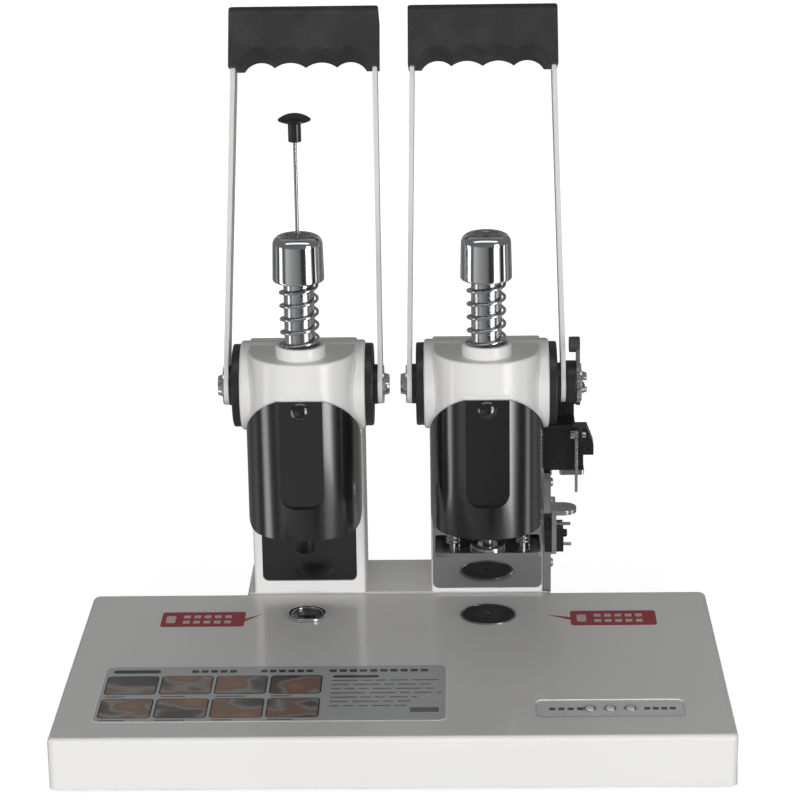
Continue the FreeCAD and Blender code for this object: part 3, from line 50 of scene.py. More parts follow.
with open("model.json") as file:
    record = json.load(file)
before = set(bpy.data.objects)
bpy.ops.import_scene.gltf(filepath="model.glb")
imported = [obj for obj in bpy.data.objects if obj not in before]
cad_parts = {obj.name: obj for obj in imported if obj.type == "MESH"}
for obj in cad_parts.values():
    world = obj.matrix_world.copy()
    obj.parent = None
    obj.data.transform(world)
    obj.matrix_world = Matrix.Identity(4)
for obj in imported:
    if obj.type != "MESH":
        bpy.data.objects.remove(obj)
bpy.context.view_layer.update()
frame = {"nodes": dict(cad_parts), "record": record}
BASE_LOW, BASE_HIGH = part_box("base_shell")
LEFT_LOW, LEFT_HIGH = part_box("left_plunger")
RIGHT_LOW, RIGHT_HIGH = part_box("right_plunger")
LEFT_AXIS = (LEFT_LOW + LEFT_HIGH) / 2
RIGHT_AXIS = (RIGHT_LOW + RIGHT_HIGH) / 2
MM = 0.001
# Vertices nearer than this are one vertex.
MERGE = 1e-6
# Edges that bend by more degrees than this stay sharp.
SHARP_ANGLE = 35.0

# Sockets of a colour Mix node.
MIX_FACTOR = 0
MIX_FIRST = 6
MIX_SECOND = 7
MIX_COLOUR = 2

# Turned and punched marks: radii in metres between which they fade, and how close they lie.
CAP_DISH = (0.0085, 0.0095)
CAP_RINGS = 4200
PAD_MARKS = (0.004, 0.011)
PAD_CELLS = 210
PAD_RINGS = 9000

# Large film, in millimetres across the base and behind its front edge; its rim lies below it.
FILM_CORNER = 4.5
RIM_REACH = 0.9
RIM_CORNER = 5.0
RIM_SHARE = 0.6
PICTURE_ROWS = ((29.5, 58.0), (64.5, 92.5))
PICTURE_START = 2.0
PICTURE_CORNER = 2.3
BORDER_WIDTH = 0.8
BORDER_CORNER = 3.0

# Its heading bars: left, right, front and rear edges and corner, then rows as start, end and pitch.
HEADING_BARS = ((-172, -143, 97, 102, 2.2), (-37.5, -9.5, 88.5, 92, 1.6))
HEADING_ROWS = ((-124, -90, 5.8), (-82, -44, 5.6), (-40, 27, 6.2))
HEADING_DEPTH = (97.4, 101.4)
HEADING_FILL = 0.72
BLOCK_CORNER = 0.5

# Its thin bars, in rows from the back to the front, and the short bars below the picture blocks.
LINE_REACHES = (26, 20, 22, 27, 12, 8, 6)
LINE_START = -38.0
LINE_GAP = 2.4
LINE_TOP = 83.5
LINE_PITCH = 6.4
LINE_DEPTH = 1.5
LINE_LEAST = 6.0
LINE_STEP = 5.0
LINE_CORNER = 0.3
CAPTION_ROWS = (60.4, 25.6)
CAPTION_START = 3.5
CAPTION_LEAST = 12
CAPTION_STEP = 3
FOOT_BLOCK = (10, 27, 36, 43)
FOOT_BLOCK_CORNER = 0.6

# Red tags: left, right, front and rear edges, root of the pointer and its tip.
TAGS = {"left": (-151.2, -97.8, 172.9, 197.7, -97.8, 183.0, -86.8, 194.1),
        "right": (110.4, 164.9, 170.7, 195.4, 110.4, 182.0, 96.3, 188.8)}
TAG_START = {"left": 3, "right": 4}
TAG_CORNER = 2.2
TAG_PICTURE_WIDTH = 6
TAG_PICTURE_INSET = 6.5
TAG_PICTURE_CORNER = 1.5
TAG_BLOCKS = 5
TAG_BLOCK_PITCH = 6.6
TAG_BLOCK_SIZE = (4.4, 4.6)
TAG_BLOCK_ROWS = (5.5, 14.5)
TAG_BLOCK_START = 11
TAG_BLOCK_CORNER = 0.6

# Strip round the lamps, from their middle; it lies a little below the base's top.
INLAY_HALF = (43.2, 12.2)
INLAY_CORNER = 4
INLAY_RISE = -0.6
INLAY_BLOCKS = (-36, -30.5, -25, -19.5, 20, 25, 30, 35)
INLAY_BLOCK_WIDTH = 3.6
INLAY_BLOCK_HALF_DEPTH = 2
BEZEL_PLACES = (-12, 0, 12)
BEZEL_PROFILE = ((2.75, 0.0), (3.9, 0.0), (3.9, 0.35), (3.6, 0.6), (3.0, 0.6), (2.75, 0.4))

# What reflections see on the table: degrees round the machine from straight ahead, and brightness.
TABLE_BANDS = ((-180, 0.035), (-120, 0.025), (-108, 0.07), (-96, 0.006), (-90, 0.02), (-84, 0.5),
               (-78, 0.5), (-72, 0.03), (-62, 0.02), (-52, 0.1), (-40, 0.08), (-26, 0.06),
               (-12, 0.05), (0, 0.04), (10, 0.03), (16, 0.008), (30, 0.008), (37, 0.02),
               (42, 1.0), (54, 1.0), (62, 0.12), (70, 0.006), (84, 0.006), (88, 0.3), (92, 0.3),
               (96, 0.006), (108, 0.07), (120, 0.025), (180, 0.035))
# Patch by the base's right front corner, where the bands are dimmed, in metres.
DIM_PLACE = Vector((0.2, -0.23, 0))
DIM_EDGE = (0.08, 0.12)
DIM_VALUE = 0.045
# What reflections see overhead: place from front to back, and brightness.
CEILING_BANDS = ((0.0, 0.02), (0.2, 0.1), (0.28, 1), (0.4, 0.8), (0.48, 0.06), (1.0, 0.2))
# Half the width of each level sheet of the stage and its height, in metres.
FLOOR_SPAN = (9, 0)
TABLE_SPAN = (9, -0.001)
CEILING_SPAN = (1.2, 1.5)


def grey(value):
    """A grey colour."""
    return (value, value, value)


def on_base(x, front, rise=0.0):
    """Point on the base's top from millimetres: across, behind the front edge and above it."""
    return Vector((x * MM, BASE_LOW.y + front * MM, BASE_HIGH.z + rise * MM))


class FinishSettings(bpy.types.PropertyGroup):
    """Colours and roughness of the machine's finishes."""
    paint_colour: FloatVectorProperty(
        name="Paint colour", description="Off-white stoved paint of the body", subtype="COLOR",
        size=3, default=(0.79, 0.785, 0.77), min=0, max=1)
    paint_roughness: FloatProperty(
        name="Paint roughness", description="How matte the paint under its gloss is",
        default=0.42, min=0, max=1)
    cover_colour: FloatVectorProperty(
        name="Cover colour", description="Black lacquer of the two front covers", subtype="COLOR",
        size=3, default=(0.006, 0.006, 0.0065), min=0, max=1)
    plastic_colour: FloatVectorProperty(
        name="Plastic colour", description="Moulded plastic of the grips and switches", subtype="COLOR",
        size=3, default=(0.028, 0.028, 0.029), min=0, max=1)
    tag_colour: FloatVectorProperty(
        name="Tag colour", description="Printed red of the two pointing tags", subtype="COLOR",
        size=3, default=(0.36, 0.018, 0.03), min=0, max=1)
    chrome_colour: FloatVectorProperty(
        name="Chrome colour", description="Plated and polished steel", subtype="COLOR",
        size=3, default=(0.74, 0.745, 0.76), min=0, max=1)


class PrintSettings(bpy.types.PropertyGroup):
    """Sizes of the printed films on the base, in millimetres from the front edge and the middle."""
    film_thickness: FloatProperty(
        name="Film thickness", description="Thickness of every printed film", default=0.00012,
        unit="LENGTH", min=0.00005)
    label_left: FloatProperty(name="Label left", description="Left edge of the large film, mm",
                              default=-176.4)
    label_right: FloatProperty(name="Label right", description="Right edge of the large film, mm",
                               default=31.0)
    label_front: FloatProperty(name="Label front", description="Front edge of the large film, mm",
                               default=24.8)
    label_back: FloatProperty(name="Label back", description="Rear edge of the large film, mm",
                              default=107.0)
    picture_columns: IntProperty(name="Picture columns", description="Picture blocks in one row",
                                 default=4, min=1)
    picture_pitch: FloatProperty(name="Picture pitch", description="Distance between picture blocks, mm",
                                 default=33.1)
    picture_width: FloatProperty(name="Picture width", description="Width of one picture block, mm",
                                 default=31.4)


class StageSettings(bpy.types.PropertyGroup):
    """Camera, lights, floor and the glowing sheets that only reflections see."""
    lens: FloatProperty(name="Lens", description="Focal length in mm on a 36 mm sensor",
                        default=125.339, min=1)
    camera_place: FloatVectorProperty(name="Camera place", description="Where the camera stands",
                                      subtype="TRANSLATION", size=3,
                                      default=(0.040658, -1.649347, 0.697070))
    camera_turn: FloatVectorProperty(name="Camera turn", description="Pitch down, yaw and roll in degrees",
                                     size=3, default=(17.262, 1.2744, -0.8914))
    strip_power: FloatProperty(name="Side light power", description="Power of each tall side light",
                               default=6.0, min=0)
    front_power: FloatProperty(name="Front light power", description="Power of the soft front light",
                               default=26.0, min=0)
    rear_power: FloatProperty(name="Rear light power", description="Power of the soft rear light",
                              default=3.5, min=0)
    room_light: FloatProperty(name="Room light", description="Brightness of the room all round",
                              default=0.16, min=0)
    ceiling_glow: FloatProperty(name="Ceiling glow",
                                description="Brightness of the soft box overhead that reflections see",
                                default=1.6, min=0)
    floor_glow: FloatProperty(name="Floor glow", description="Light that the pale floor gives",
                              default=0.9, min=0)
    band_glow: FloatProperty(name="Reflected band glow",
                             description="Brightness of the bands that metal and lacquer reflect",
                             default=5.5, min=0)


class Wire:
    """A socket of a finish, so that a sum on it reads as a sum."""

    def __init__(self, finish, socket):
        self.finish = finish
        self.socket = socket

    def sum(self, operation, first, second):
        return self.finish.node("ShaderNodeMath", {"operation": operation}, {0: first, 1: second})

    def __add__(self, other):
        return self.sum("ADD", self, other)

    def __radd__(self, other):
        return self.sum("ADD", other, self)

    def __sub__(self, other):
        return self.sum("SUBTRACT", self, other)

    def __rsub__(self, other):
        return self.sum("SUBTRACT", other, self)

    def __mul__(self, other):
        return self.sum("MULTIPLY", self, other)

    def __rmul__(self, other):
        return self.sum("MULTIPLY", other, self)


class Finish:
    """A procedural material, built node by node."""

    def __init__(self, name):
        self.material = bpy.data.materials.new(name)
        self.material.use_nodes = True
        self.tree = self.material.node_tree
        self.tree.nodes.clear()
        self.place = self.node("ShaderNodeTexCoord", out="Object")

    def node(self, kind, settings=None, inputs=None, out=0):
        """One node with its settings, then the values or links of its sockets; gives its output."""
        made = self.tree.nodes.new(kind)
        for name, value in (settings or {}).items():
            if name == "stops":
                self.set_stops(made.color_ramp, value)
            else:
                setattr(made, name, value)
        for name, value in (inputs or {}).items():
            if isinstance(value, Wire):
                self.tree.links.new(value.socket, made.inputs[name])
            else:
                made.inputs[name].default_value = value
        return Wire(self, made.outputs[out]) if made.outputs else None

    def set_stops(self, ramp, stops):
        """Colours of a ramp from (place, colour) pairs."""
        ramp.elements[0].position, ramp.elements[0].color = stops[0][0], (*stops[0][1], 1)
        ramp.elements[1].position, ramp.elements[1].color = stops[-1][0], (*stops[-1][1], 1)
        for place, colour in stops[1:-1]:
            ramp.elements.new(place).color = (*colour, 1)

    def noise(self, scale, detail=3.0, stretch=(1, 1, 1)):
        """Soft noise from 0 to 1; scale is per metre, and stretch packs it tighter along an axis."""
        place = self.node("ShaderNodeMapping", {}, {"Vector": self.place, "Scale": stretch})
        return self.node("ShaderNodeTexNoise", {}, {"Vector": place, "Scale": scale, "Detail": detail})

    def cells(self, scale):
        """Distance to the nearest cell centre; scale is per metre."""
        return self.node("ShaderNodeTexVoronoi", {"feature": "F1"},
                         {"Vector": self.place, "Scale": scale}, "Distance")

    def span(self, value, low, high, to_low=0.0, to_high=1.0):
        """A value carried from one range onto another and held inside it."""
        return self.node("ShaderNodeMapRange", {},
                         {"Value": value, "From Min": low, "From Max": high,
                          "To Min": to_low, "To Max": to_high})

    def blend(self, factor, first, second):
        """A colour between two colours."""
        first = first if isinstance(first, Wire) else (*first, 1)
        second = second if isinstance(second, Wire) else (*second, 1)
        return self.node("ShaderNodeMix", {"data_type": "RGBA"},
                         {MIX_FACTOR: factor, MIX_FIRST: first, MIX_SECOND: second}, MIX_COLOUR)

    def ramp(self, value, stops):
        """A colour read from a ramp."""
        return self.node("ShaderNodeValToRGB", {"stops": stops}, {"Fac": value})

    def axis_part(self, axis):
        """One coordinate of the place, in metres."""
        return self.node("ShaderNodeSeparateXYZ", {}, {"Vector": self.place}, axis)

    def ring_distance(self, centre):
        """Distance from an upright axis, in metres."""
        flat = self.node("ShaderNodeMapping", {},
                         {"Vector": self.place, "Location": (-centre.x, -centre.y, 0), "Scale": (1, 1, 0)})
        return self.node("ShaderNodeVectorMath", {"operation": "LENGTH"}, {0: flat}, "Value")

    def relief(self, height, distance, edge=0.0):
        """Fine relief, with edges rounded over by eye where an edge size is given."""
        inputs = {"Height": height, "Distance": distance, "Strength": 1.0}
        if edge:
            inputs["Normal"] = self.node("ShaderNodeBevel", {"samples": 4}, {"Radius": edge})
        return self.node("ShaderNodeBump", {}, inputs)

    def done(self, sockets):
        """Close the finish with its shader."""
        shader = self.node("ShaderNodeBsdfPrincipled", {}, sockets)
        self.node("ShaderNodeOutputMaterial", {}, {"Surface": shader})
        return self.material


def tone(colour, gain):
    """A colour made lighter or darker."""
    return tuple(min(1.0, part * gain) for part in colour)


def gloss_paint(name, colour, roughness, edge=0.0006):
    """Stoved gloss paint with a faint orange peel, soft tone changes and a little dust."""
    finish = Finish(name)
    broad = finish.noise(7, 2)
    dust = finish.span(finish.noise(1400, 2), 0.66, 0.8)
    shade = finish.blend(broad, tone(colour, 0.96), tone(colour, 1.03))
    shade = finish.blend(dust * 0.25, shade, tone(colour, 0.7))
    peel = finish.noise(420, 2) + finish.noise(1500, 1) * 0.3
    return finish.done({
        "Base Color": shade,
        "Roughness": finish.span(broad, 0.3, 0.7, roughness - 0.04, roughness + 0.05) + dust * 0.1,
        "Coat Weight": 0.55, "Coat Roughness": 0.09,
        "Normal": finish.relief(peel, 0.000035, edge),
    })


def lacquer(name, colour, roughness=0.24, edge=0.0005):
    """Smooth black lacquer over pressed sheet, with faint wiping marks."""
    finish = Finish(name)
    wipe = finish.noise(26, 3)
    speck = finish.span(finish.noise(2600, 1), 0.72, 0.82)
    return finish.done({
        "Base Color": finish.blend(speck * 0.5, finish.blend(wipe, tone(colour, 0.8), tone(colour, 1.3)),
                                   tone(colour, 4)),
        "Roughness": finish.span(wipe, 0.3, 0.7, roughness - 0.02, roughness + 0.03),
        "Coat Weight": 1.0, "Coat Roughness": 0.14, "Coat IOR": 1.65,
        "Normal": finish.relief(finish.noise(500, 2), 0.00002, edge),
    })


def moulded(name, colour, roughness=0.5, grain=900, depth=0.00006, edge=0.0007):
    """Moulded plastic with a fine eroded grain and slightly polished high spots."""
    finish = Finish(name)
    pits = finish.noise(grain, 3)
    wear = finish.span(finish.noise(35, 4), 0.5, 0.72)
    return finish.done({
        "Base Color": finish.blend(wear, finish.blend(pits, tone(colour, 0.7), tone(colour, 1.35)),
                                   tone(colour, 1.7)),
        "Roughness": finish.span(pits, 0.3, 0.7, roughness + 0.1, roughness - 0.06) - wear * 0.08,
        "Normal": finish.relief(pits, depth, edge),
    })


def plated(name, colour, roughness=0.07, edge=0.0004):
    """Bright plating with faint smears and hairline marks."""
    finish = Finish(name)
    smear = finish.noise(50, 5)
    hair = finish.span(finish.noise(90, 6, (14, 1, 1)), 0.62, 0.7)
    return finish.done({
        "Base Color": finish.blend(smear, tone(colour, 0.93), tone(colour, 1.05)),
        "Metallic": 1.0,
        "Roughness": finish.span(smear, 0.35, 0.75, roughness, roughness + 0.07) + hair * 0.05,
        "Normal": finish.relief(finish.noise(300, 2), 0.000012, edge),
    })


def turned_cap(name, colour, centre):
    """Bright plating, with turned rings in the dish on top."""
    finish = Finish(name)
    smear = finish.noise(50, 5)
    reach = finish.ring_distance(centre)
    dish = finish.span(reach, *CAP_DISH, 1.0, 0.0)
    rings = finish.node("ShaderNodeMath", {"operation": "SINE"}, {0: reach * CAP_RINGS}) * dish
    shade = finish.blend(smear, tone(colour, 0.93), tone(colour, 1.05))
    return finish.done({
        "Base Color": finish.blend(finish.span(rings, 0.0, 0.6), shade, tone(colour, 0.25)),
        "Metallic": 1.0,
        "Roughness": finish.span(smear, 0.35, 0.75, 0.05, 0.12),
        "Normal": finish.relief(rings + finish.noise(300, 2) * 0.1, 0.00012, 0.0004),
    })


def machined(name, colour, roughness=0.26, stretch=(1, 1, 40), scale=90, edge=0.0003):
    """Steel with fine tool lines that run across the stretched axis, and darker stains."""
    finish = Finish(name)
    lines = finish.noise(scale, 3, stretch)
    stain = finish.span(finish.noise(45, 4), 0.48, 0.75)
    return finish.done({
        "Base Color": finish.blend(stain * 0.6, finish.blend(lines, tone(colour, 0.8), tone(colour, 1.12)),
                                   tone(colour, 0.6)),
        "Metallic": 1.0,
        "Roughness": finish.span(lines, 0.3, 0.7, roughness - 0.07, roughness + 0.1) + stain * 0.1,
        "Normal": finish.relief(lines, 0.00002, edge),
    })


def heated_steel(name, foot, top):
    """Dark tool steel with straw and blue heat colours that rise from its working end."""
    finish = Finish(name)
    height = finish.span(finish.axis_part("Z") + finish.noise(220, 3) * 0.003, foot, top)
    shade = finish.ramp(height, [(0.0, (0.02, 0.019, 0.02)), (0.3, (0.03, 0.028, 0.034)),
                                 (0.5, (0.05, 0.036, 0.03)), (0.75, (0.07, 0.06, 0.045)),
                                 (1.0, (0.08, 0.08, 0.08))])
    return finish.done({
        "Base Color": shade, "Metallic": 0.9,
        "Roughness": finish.span(finish.noise(300, 4), 0.3, 0.7, 0.3, 0.5),
        "Normal": finish.relief(finish.noise(90, 3, (1, 1, 30)), 0.00002, 0.0003),
    })


def worn_pad(name, centre):
    """Black nylon pad with thin arcs of punch marks near its middle."""
    finish = Finish(name)
    reach = finish.ring_distance(centre)
    inner = finish.span(reach, *PAD_MARKS, 1.0, 0.0)
    from_cell = finish.cells(PAD_CELLS)
    marks = finish.span(from_cell, 0.4, 0.43) * finish.span(from_cell, 0.46, 0.49, 1.0, 0.0) * inner
    turning = finish.node("ShaderNodeMath", {"operation": "SINE"}, {0: reach * PAD_RINGS})
    return finish.done({
        "Base Color": finish.blend(marks * 0.7, (0.012, 0.012, 0.014), (0.26, 0.26, 0.27)),
        "Roughness": finish.span(marks, 0, 1, 0.32, 0.6),
        "Normal": finish.relief(turning * 0.12 - marks, 0.00012, 0.0003),
    })


def print_film(name, colour, roughness=0.36, mottle=0.05):
    """Smooth printed film with a little wear."""
    finish = Finish(name)
    broad = finish.noise(70, 3)
    rub = finish.span(finish.noise(420, 4), 0.6, 0.74)
    return finish.done({
        "Base Color": finish.blend(rub * 0.3, finish.blend(broad, tone(colour, 1 - mottle),
                                                           tone(colour, 1 + mottle)), tone(colour, 1.25)),
        "Roughness": finish.span(broad, 0.3, 0.7, roughness - 0.05, roughness + 0.08),
        "Coat Weight": 0.4, "Coat Roughness": 0.12,
        "Normal": finish.relief(finish.noise(650, 2), 0.00001),
    })


def picture_print(name):
    """Plain blocks of printed tan and grey with soft edges and a printed dot."""
    finish = Finish(name)
    patch = finish.noise(38, 1.2, (1, 1.3, 1))
    shade = finish.ramp(patch, [(0.3, (0.03, 0.03, 0.03)), (0.42, (0.1, 0.085, 0.08)),
                                (0.49, (0.3, 0.28, 0.26)), (0.56, (0.22, 0.12, 0.075)),
                                (0.68, (0.34, 0.18, 0.1))])
    dots = finish.span(finish.cells(1700), 0.2, 0.5)
    return finish.done({
        "Base Color": finish.blend(dots * 0.15, shade, (0.5, 0.48, 0.45)),
        "Roughness": finish.span(patch, 0.3, 0.7, 0.3, 0.4),
        "Coat Weight": 0.4, "Coat Roughness": 0.12,
    })


def lens_plastic(name):
    """Milky lens of a small indicator lamp."""
    finish = Finish(name)
    cloud = finish.noise(900, 2)
    return finish.done({
        "Base Color": finish.blend(cloud, (0.62, 0.64, 0.63), (0.8, 0.82, 0.8)),
        "Roughness": finish.span(cloud, 0.3, 0.7, 0.12, 0.22),
        "Coat Weight": 0.6,
        "Normal": finish.relief(cloud, 0.00002, 0.0003),
    })


def settings():
    """The three property groups."""
    scene = bpy.context.scene
    return scene.machine_finish, scene.machine_print, scene.machine_stage


def dress(material, *names):
    """Give solids their finish."""
    for name in names:
        mesh = frame["nodes"][name].data
        mesh.materials.clear()
        mesh.materials.append(material)


def add_piece(name, mesh_work, material, body):
    """Close mesh work into a finished piece that rides on a body."""
    mesh = bpy.data.meshes.new(name)
    mesh_work.to_mesh(mesh)
    mesh_work.free()
    mesh.materials.append(material)
    piece = bpy.data.objects.new(name, mesh)
    bpy.context.scene.collection.objects.link(piece)
    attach(piece, body)
    return piece


def smooth_by_angle(piece, degrees=SHARP_ANGLE):
    """Smooth shading with sharp edges kept above an angle."""
    piece.data.shade_smooth()
    piece.data.set_sharp_from_angle(angle=math.radians(degrees))


def softened_copy(name, node, width, material, body):
    """A solid's own form with its corners rounded over, in the solid's place."""
    work = bmesh.new()
    work.from_mesh(frame["nodes"][node].data)
    bmesh.ops.remove_doubles(work, verts=work.verts, dist=MERGE)
    bmesh.ops.dissolve_limit(work, angle_limit=math.radians(0.5), verts=work.verts, edges=work.edges)
    piece = add_piece(name, work, material, body)
    smooth_by_angle(piece)
    bevel = piece.modifiers.new("rounded corners", "BEVEL")
    bevel.width = width
    bevel.segments = 3
    bevel.limit_method = "ANGLE"
    bevel.angle_limit = math.radians(SHARP_ANGLE)
    bevel.harden_normals = True
    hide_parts(node)


def thicken(work, face, thickness):
    """Raise a flat face into a plate."""
    grown = bmesh.ops.extrude_face_region(work, geom=[face])
    raised = [part for part in grown["geom"] if isinstance(part, bmesh.types.BMVert)]
    bmesh.ops.translate(work, verts=raised, vec=(0, 0, thickness))


def add_tile(work, x0, x1, front0, front1, rise, thickness, corner):
    """Thin tile with rounded corners, laid on the base; all but its thickness is in millimetres."""
    corners = [on_base(x0, front0, rise), on_base(x1, front0, rise),
               on_base(x1, front1, rise), on_base(x0, front1, rise)]
    verts = [work.verts.new(place) for place in corners]
    face = work.faces.new(verts)
    if corner:
        bmesh.ops.bevel(work, geom=verts, offset=corner * MM, offset_type="OFFSET", segments=5,
                        profile=0.5, affect="VERTICES", material=-1)
        work.faces.ensure_lookup_table()
        face = work.faces[-1]
    thicken(work, face, thickness)


def close_tiles(work):
    """Point the faces of closed tiles or rings outwards."""
    bmesh.ops.recalc_face_normals(work, faces=work.faces)


class MACHINE_OT_paintwork(bpy.types.Operator):
    """Paint the base, deck, posts, castings and levers"""
    bl_idname = "machine.paintwork"
    bl_label = "Paintwork"

    def execute(self, context):
        look = settings()[0]
        colour = tuple(look.paint_colour)
        dress(gloss_paint("body_paint", colour, look.paint_roughness), "base_shell",
              "left_column", "right_column", "left_head_casting", "right_head_casting")
        # The deck's paint is the body paint made 2% lighter: painted light that lifts the deck where the
        # heads shade it.
        dress(gloss_paint("deck_paint_lightened", tone(colour, 1.02), look.paint_roughness + 0.05), "rear_deck")
        dress(gloss_paint("lever_paint", tone(colour, 1.02), look.paint_roughness - 0.04, 0.0008),
              "left_lever_strap", "right_lever_strap")
        dress(gloss_paint("plate_paint", (0.3, 0.3, 0.3), 0.6), "bottom_plates")
        return {"FINISHED"}


class MACHINE_OT_front_covers(bpy.types.Operator):
    """Lacquer the two half-round covers, their screws and the left post's panel"""
    bl_idname = "machine.front_covers"
    bl_label = "Front covers"

    def execute(self, context):
        colour = tuple(settings()[0].cover_colour)
        dress(lacquer("cover_lacquer", colour), "left_cover", "right_cover")
        dress(lacquer("button_lacquer", colour, 0.16), "cover_buttons")
        dress(lacquer("panel_lacquer", tone(colour, 0.8), 0.12), "left_column_panel")
        return {"FINISHED"}


class MACHINE_OT_grips(bpy.types.Operator):
    """Model the two scalloped grips with rounded corners in grained plastic"""
    bl_idname = "machine.grips"
    bl_label = "Grips"

    def execute(self, context):
        material = moulded("grip_plastic", tuple(settings()[0].plastic_colour), 0.46, 700, 0.00008)
        for side in ("left", "right"):
            softened_copy(side + "_grip_moulding", side + "_grip", 0.0009, material,
                          side + "_lever")
        return {"FINISHED"}


class MACHINE_OT_plastics(bpy.types.Operator):
    """Finish the bearing caps, spacers, knobs, switch bodies and feet"""
    bl_idname = "machine.plastics"
    bl_label = "Plastics"

    def execute(self, context):
        colour = tuple(settings()[0].plastic_colour)
        dress(moulded("cap_plastic", tone(colour, 0.7), 0.34, 1200, 0.00003), "end_caps",
              "left_hubs", "right_hubs", "trip_cam")
        dress(moulded("knob_plastic", tone(colour, 0.5), 0.2, 1500, 0.00001), "left_needle_knob")
        dress(moulded("trip_knob_plastic", tone(colour, 1.2), 0.42), "trip_knob")
        dress(moulded("switch_plastic", tone(colour, 0.45), 0.24, 1300, 0.00002), "switch_housing",
              "microswitch")
        dress(moulded("button_plastic", tone(colour, 0.5), 0.25), "switch_button")
        dress(moulded("foot_rubber", tone(colour, 0.9), 0.7, 600, 0.0001), "feet")
        return {"FINISHED"}


class MACHINE_OT_bright_metal(bpy.types.Operator):
    """Finish the caps, plungers, ejector pin, shafts, bolts and steel plates"""
    bl_idname = "machine.bright_metal"
    bl_label = "Bright metal"

    def execute(self, context):
        chrome = tuple(settings()[0].chrome_colour)
        dress(turned_cap("left_cap_chrome", chrome, LEFT_AXIS), "left_cap")
        dress(turned_cap("right_cap_chrome", chrome, RIGHT_AXIS), "right_cap")
        dress(machined("plunger_steel", tone(chrome, 0.92), 0.16, (1, 1, 60), 60), "left_plunger",
              "right_plunger")
        dress(machined("needle_steel", tone(chrome, 0.62), 0.3, (1, 1, 30), 120), "left_needle")
        dress(plated("bolt_zinc", tone(chrome, 1.05), 0.13), "left_pivot_bolts", "right_pivot_bolts",
              "side_screws", "blade_pin", "switch_terminals", "right_guide_screws")
        dress(machined("shaft_steel", tone(chrome, 0.6), 0.3, (40, 1, 1)), "left_shaft", "right_shaft",
              "left_pinion", "right_pinion")
        dress(plated("mirror_plate", tone(chrome, 0.8), 0.02), "right_mirror_plate")
        dress(machined("bracket_steel", tone(chrome, 0.95), 0.13, (1, 30, 1), 70), "side_plate",
              "switch_bracket", "latch_plate")
        dress(machined("blade_steel", tone(chrome, 0.95), 0.24, (1, 1, 30), 80), "switch_blade",
              "trip_plate")
        return {"FINISHED"}


class MACHINE_OT_springs(bpy.types.Operator):
    """Finish the return and guide springs"""
    bl_idname = "machine.springs"
    bl_label = "Springs"

    def execute(self, context):
        steel = plated("spring_steel", tone(tuple(settings()[0].chrome_colour), 0.9), 0.12, 0.0002)
        for side in ("left", "right"):
            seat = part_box(side + "_spring")[0]
            self.add_coil(side + "_spring", steel, "machine", side + "_plunger_slide", seat)
        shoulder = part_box("right_guide_springs")[1]
        self.add_coil("right_guide_springs", steel, "right_plunger", "press_plate_slide", shoulder)
        return {"FINISHED"}

    def add_coil(self, node, steel, body, joint, anchor):
        """A solid's own coil as a finished piece that rides on a body, in the solid's place."""
        work = bmesh.new()
        work.from_mesh(frame["nodes"][node].data)
        bmesh.ops.remove_doubles(work, verts=work.verts, dist=MERGE)
        piece = add_piece(node + "_coil", work, steel, body)
        smooth_by_angle(piece, 40)
        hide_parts(node)
        low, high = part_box(node)
        joints = frame["record"]["behaviour"]["joints"]
        travel = next(entry["range_m"][1] for entry in joints if entry["name"] == joint)
        1 - travel / (high.z - low.z)
        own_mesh(piece)


class MACHINE_OT_tooling(bpy.types.Operator):
    """Finish the nozzle, tip, punch, press plate and lower dies"""
    bl_idname = "machine.tooling"
    bl_label = "Tooling"

    def execute(self, context):
        chrome = tuple(settings()[0].chrome_colour)
        low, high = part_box("left_heater_tip")
        dress(plated("nozzle_chrome", chrome, 0.08), "left_nozzle", "left_die_ring")
        dress(heated_steel("heater_steel", low.z, high.z), "left_heater_tip")
        dress(machined("anvil_steel", tone(chrome, 0.28), 0.34, (1, 1, 30)), "left_anvil")
        dress(machined("punch_steel", tone(chrome, 0.6), 0.24, (1, 1, 50)), "right_punch")
        dress(machined("crosshead_steel", tone(chrome, 0.45), 0.34, (25, 1, 1), 60), "right_crosshead")
        dress(plated("press_plate_steel", tone(chrome, 0.75), 0.1), "right_press_plate")
        dress(plated("bush_chrome", tone(chrome, 0.95), 0.1), "right_guide_bush")
        dress(plated("pad_ring_chrome", tone(chrome, 0.7), 0.15), "right_pad_ring")
        dress(worn_pad("pad_nylon", RIGHT_AXIS), "right_cutting_pad")
        return {"FINISHED"}


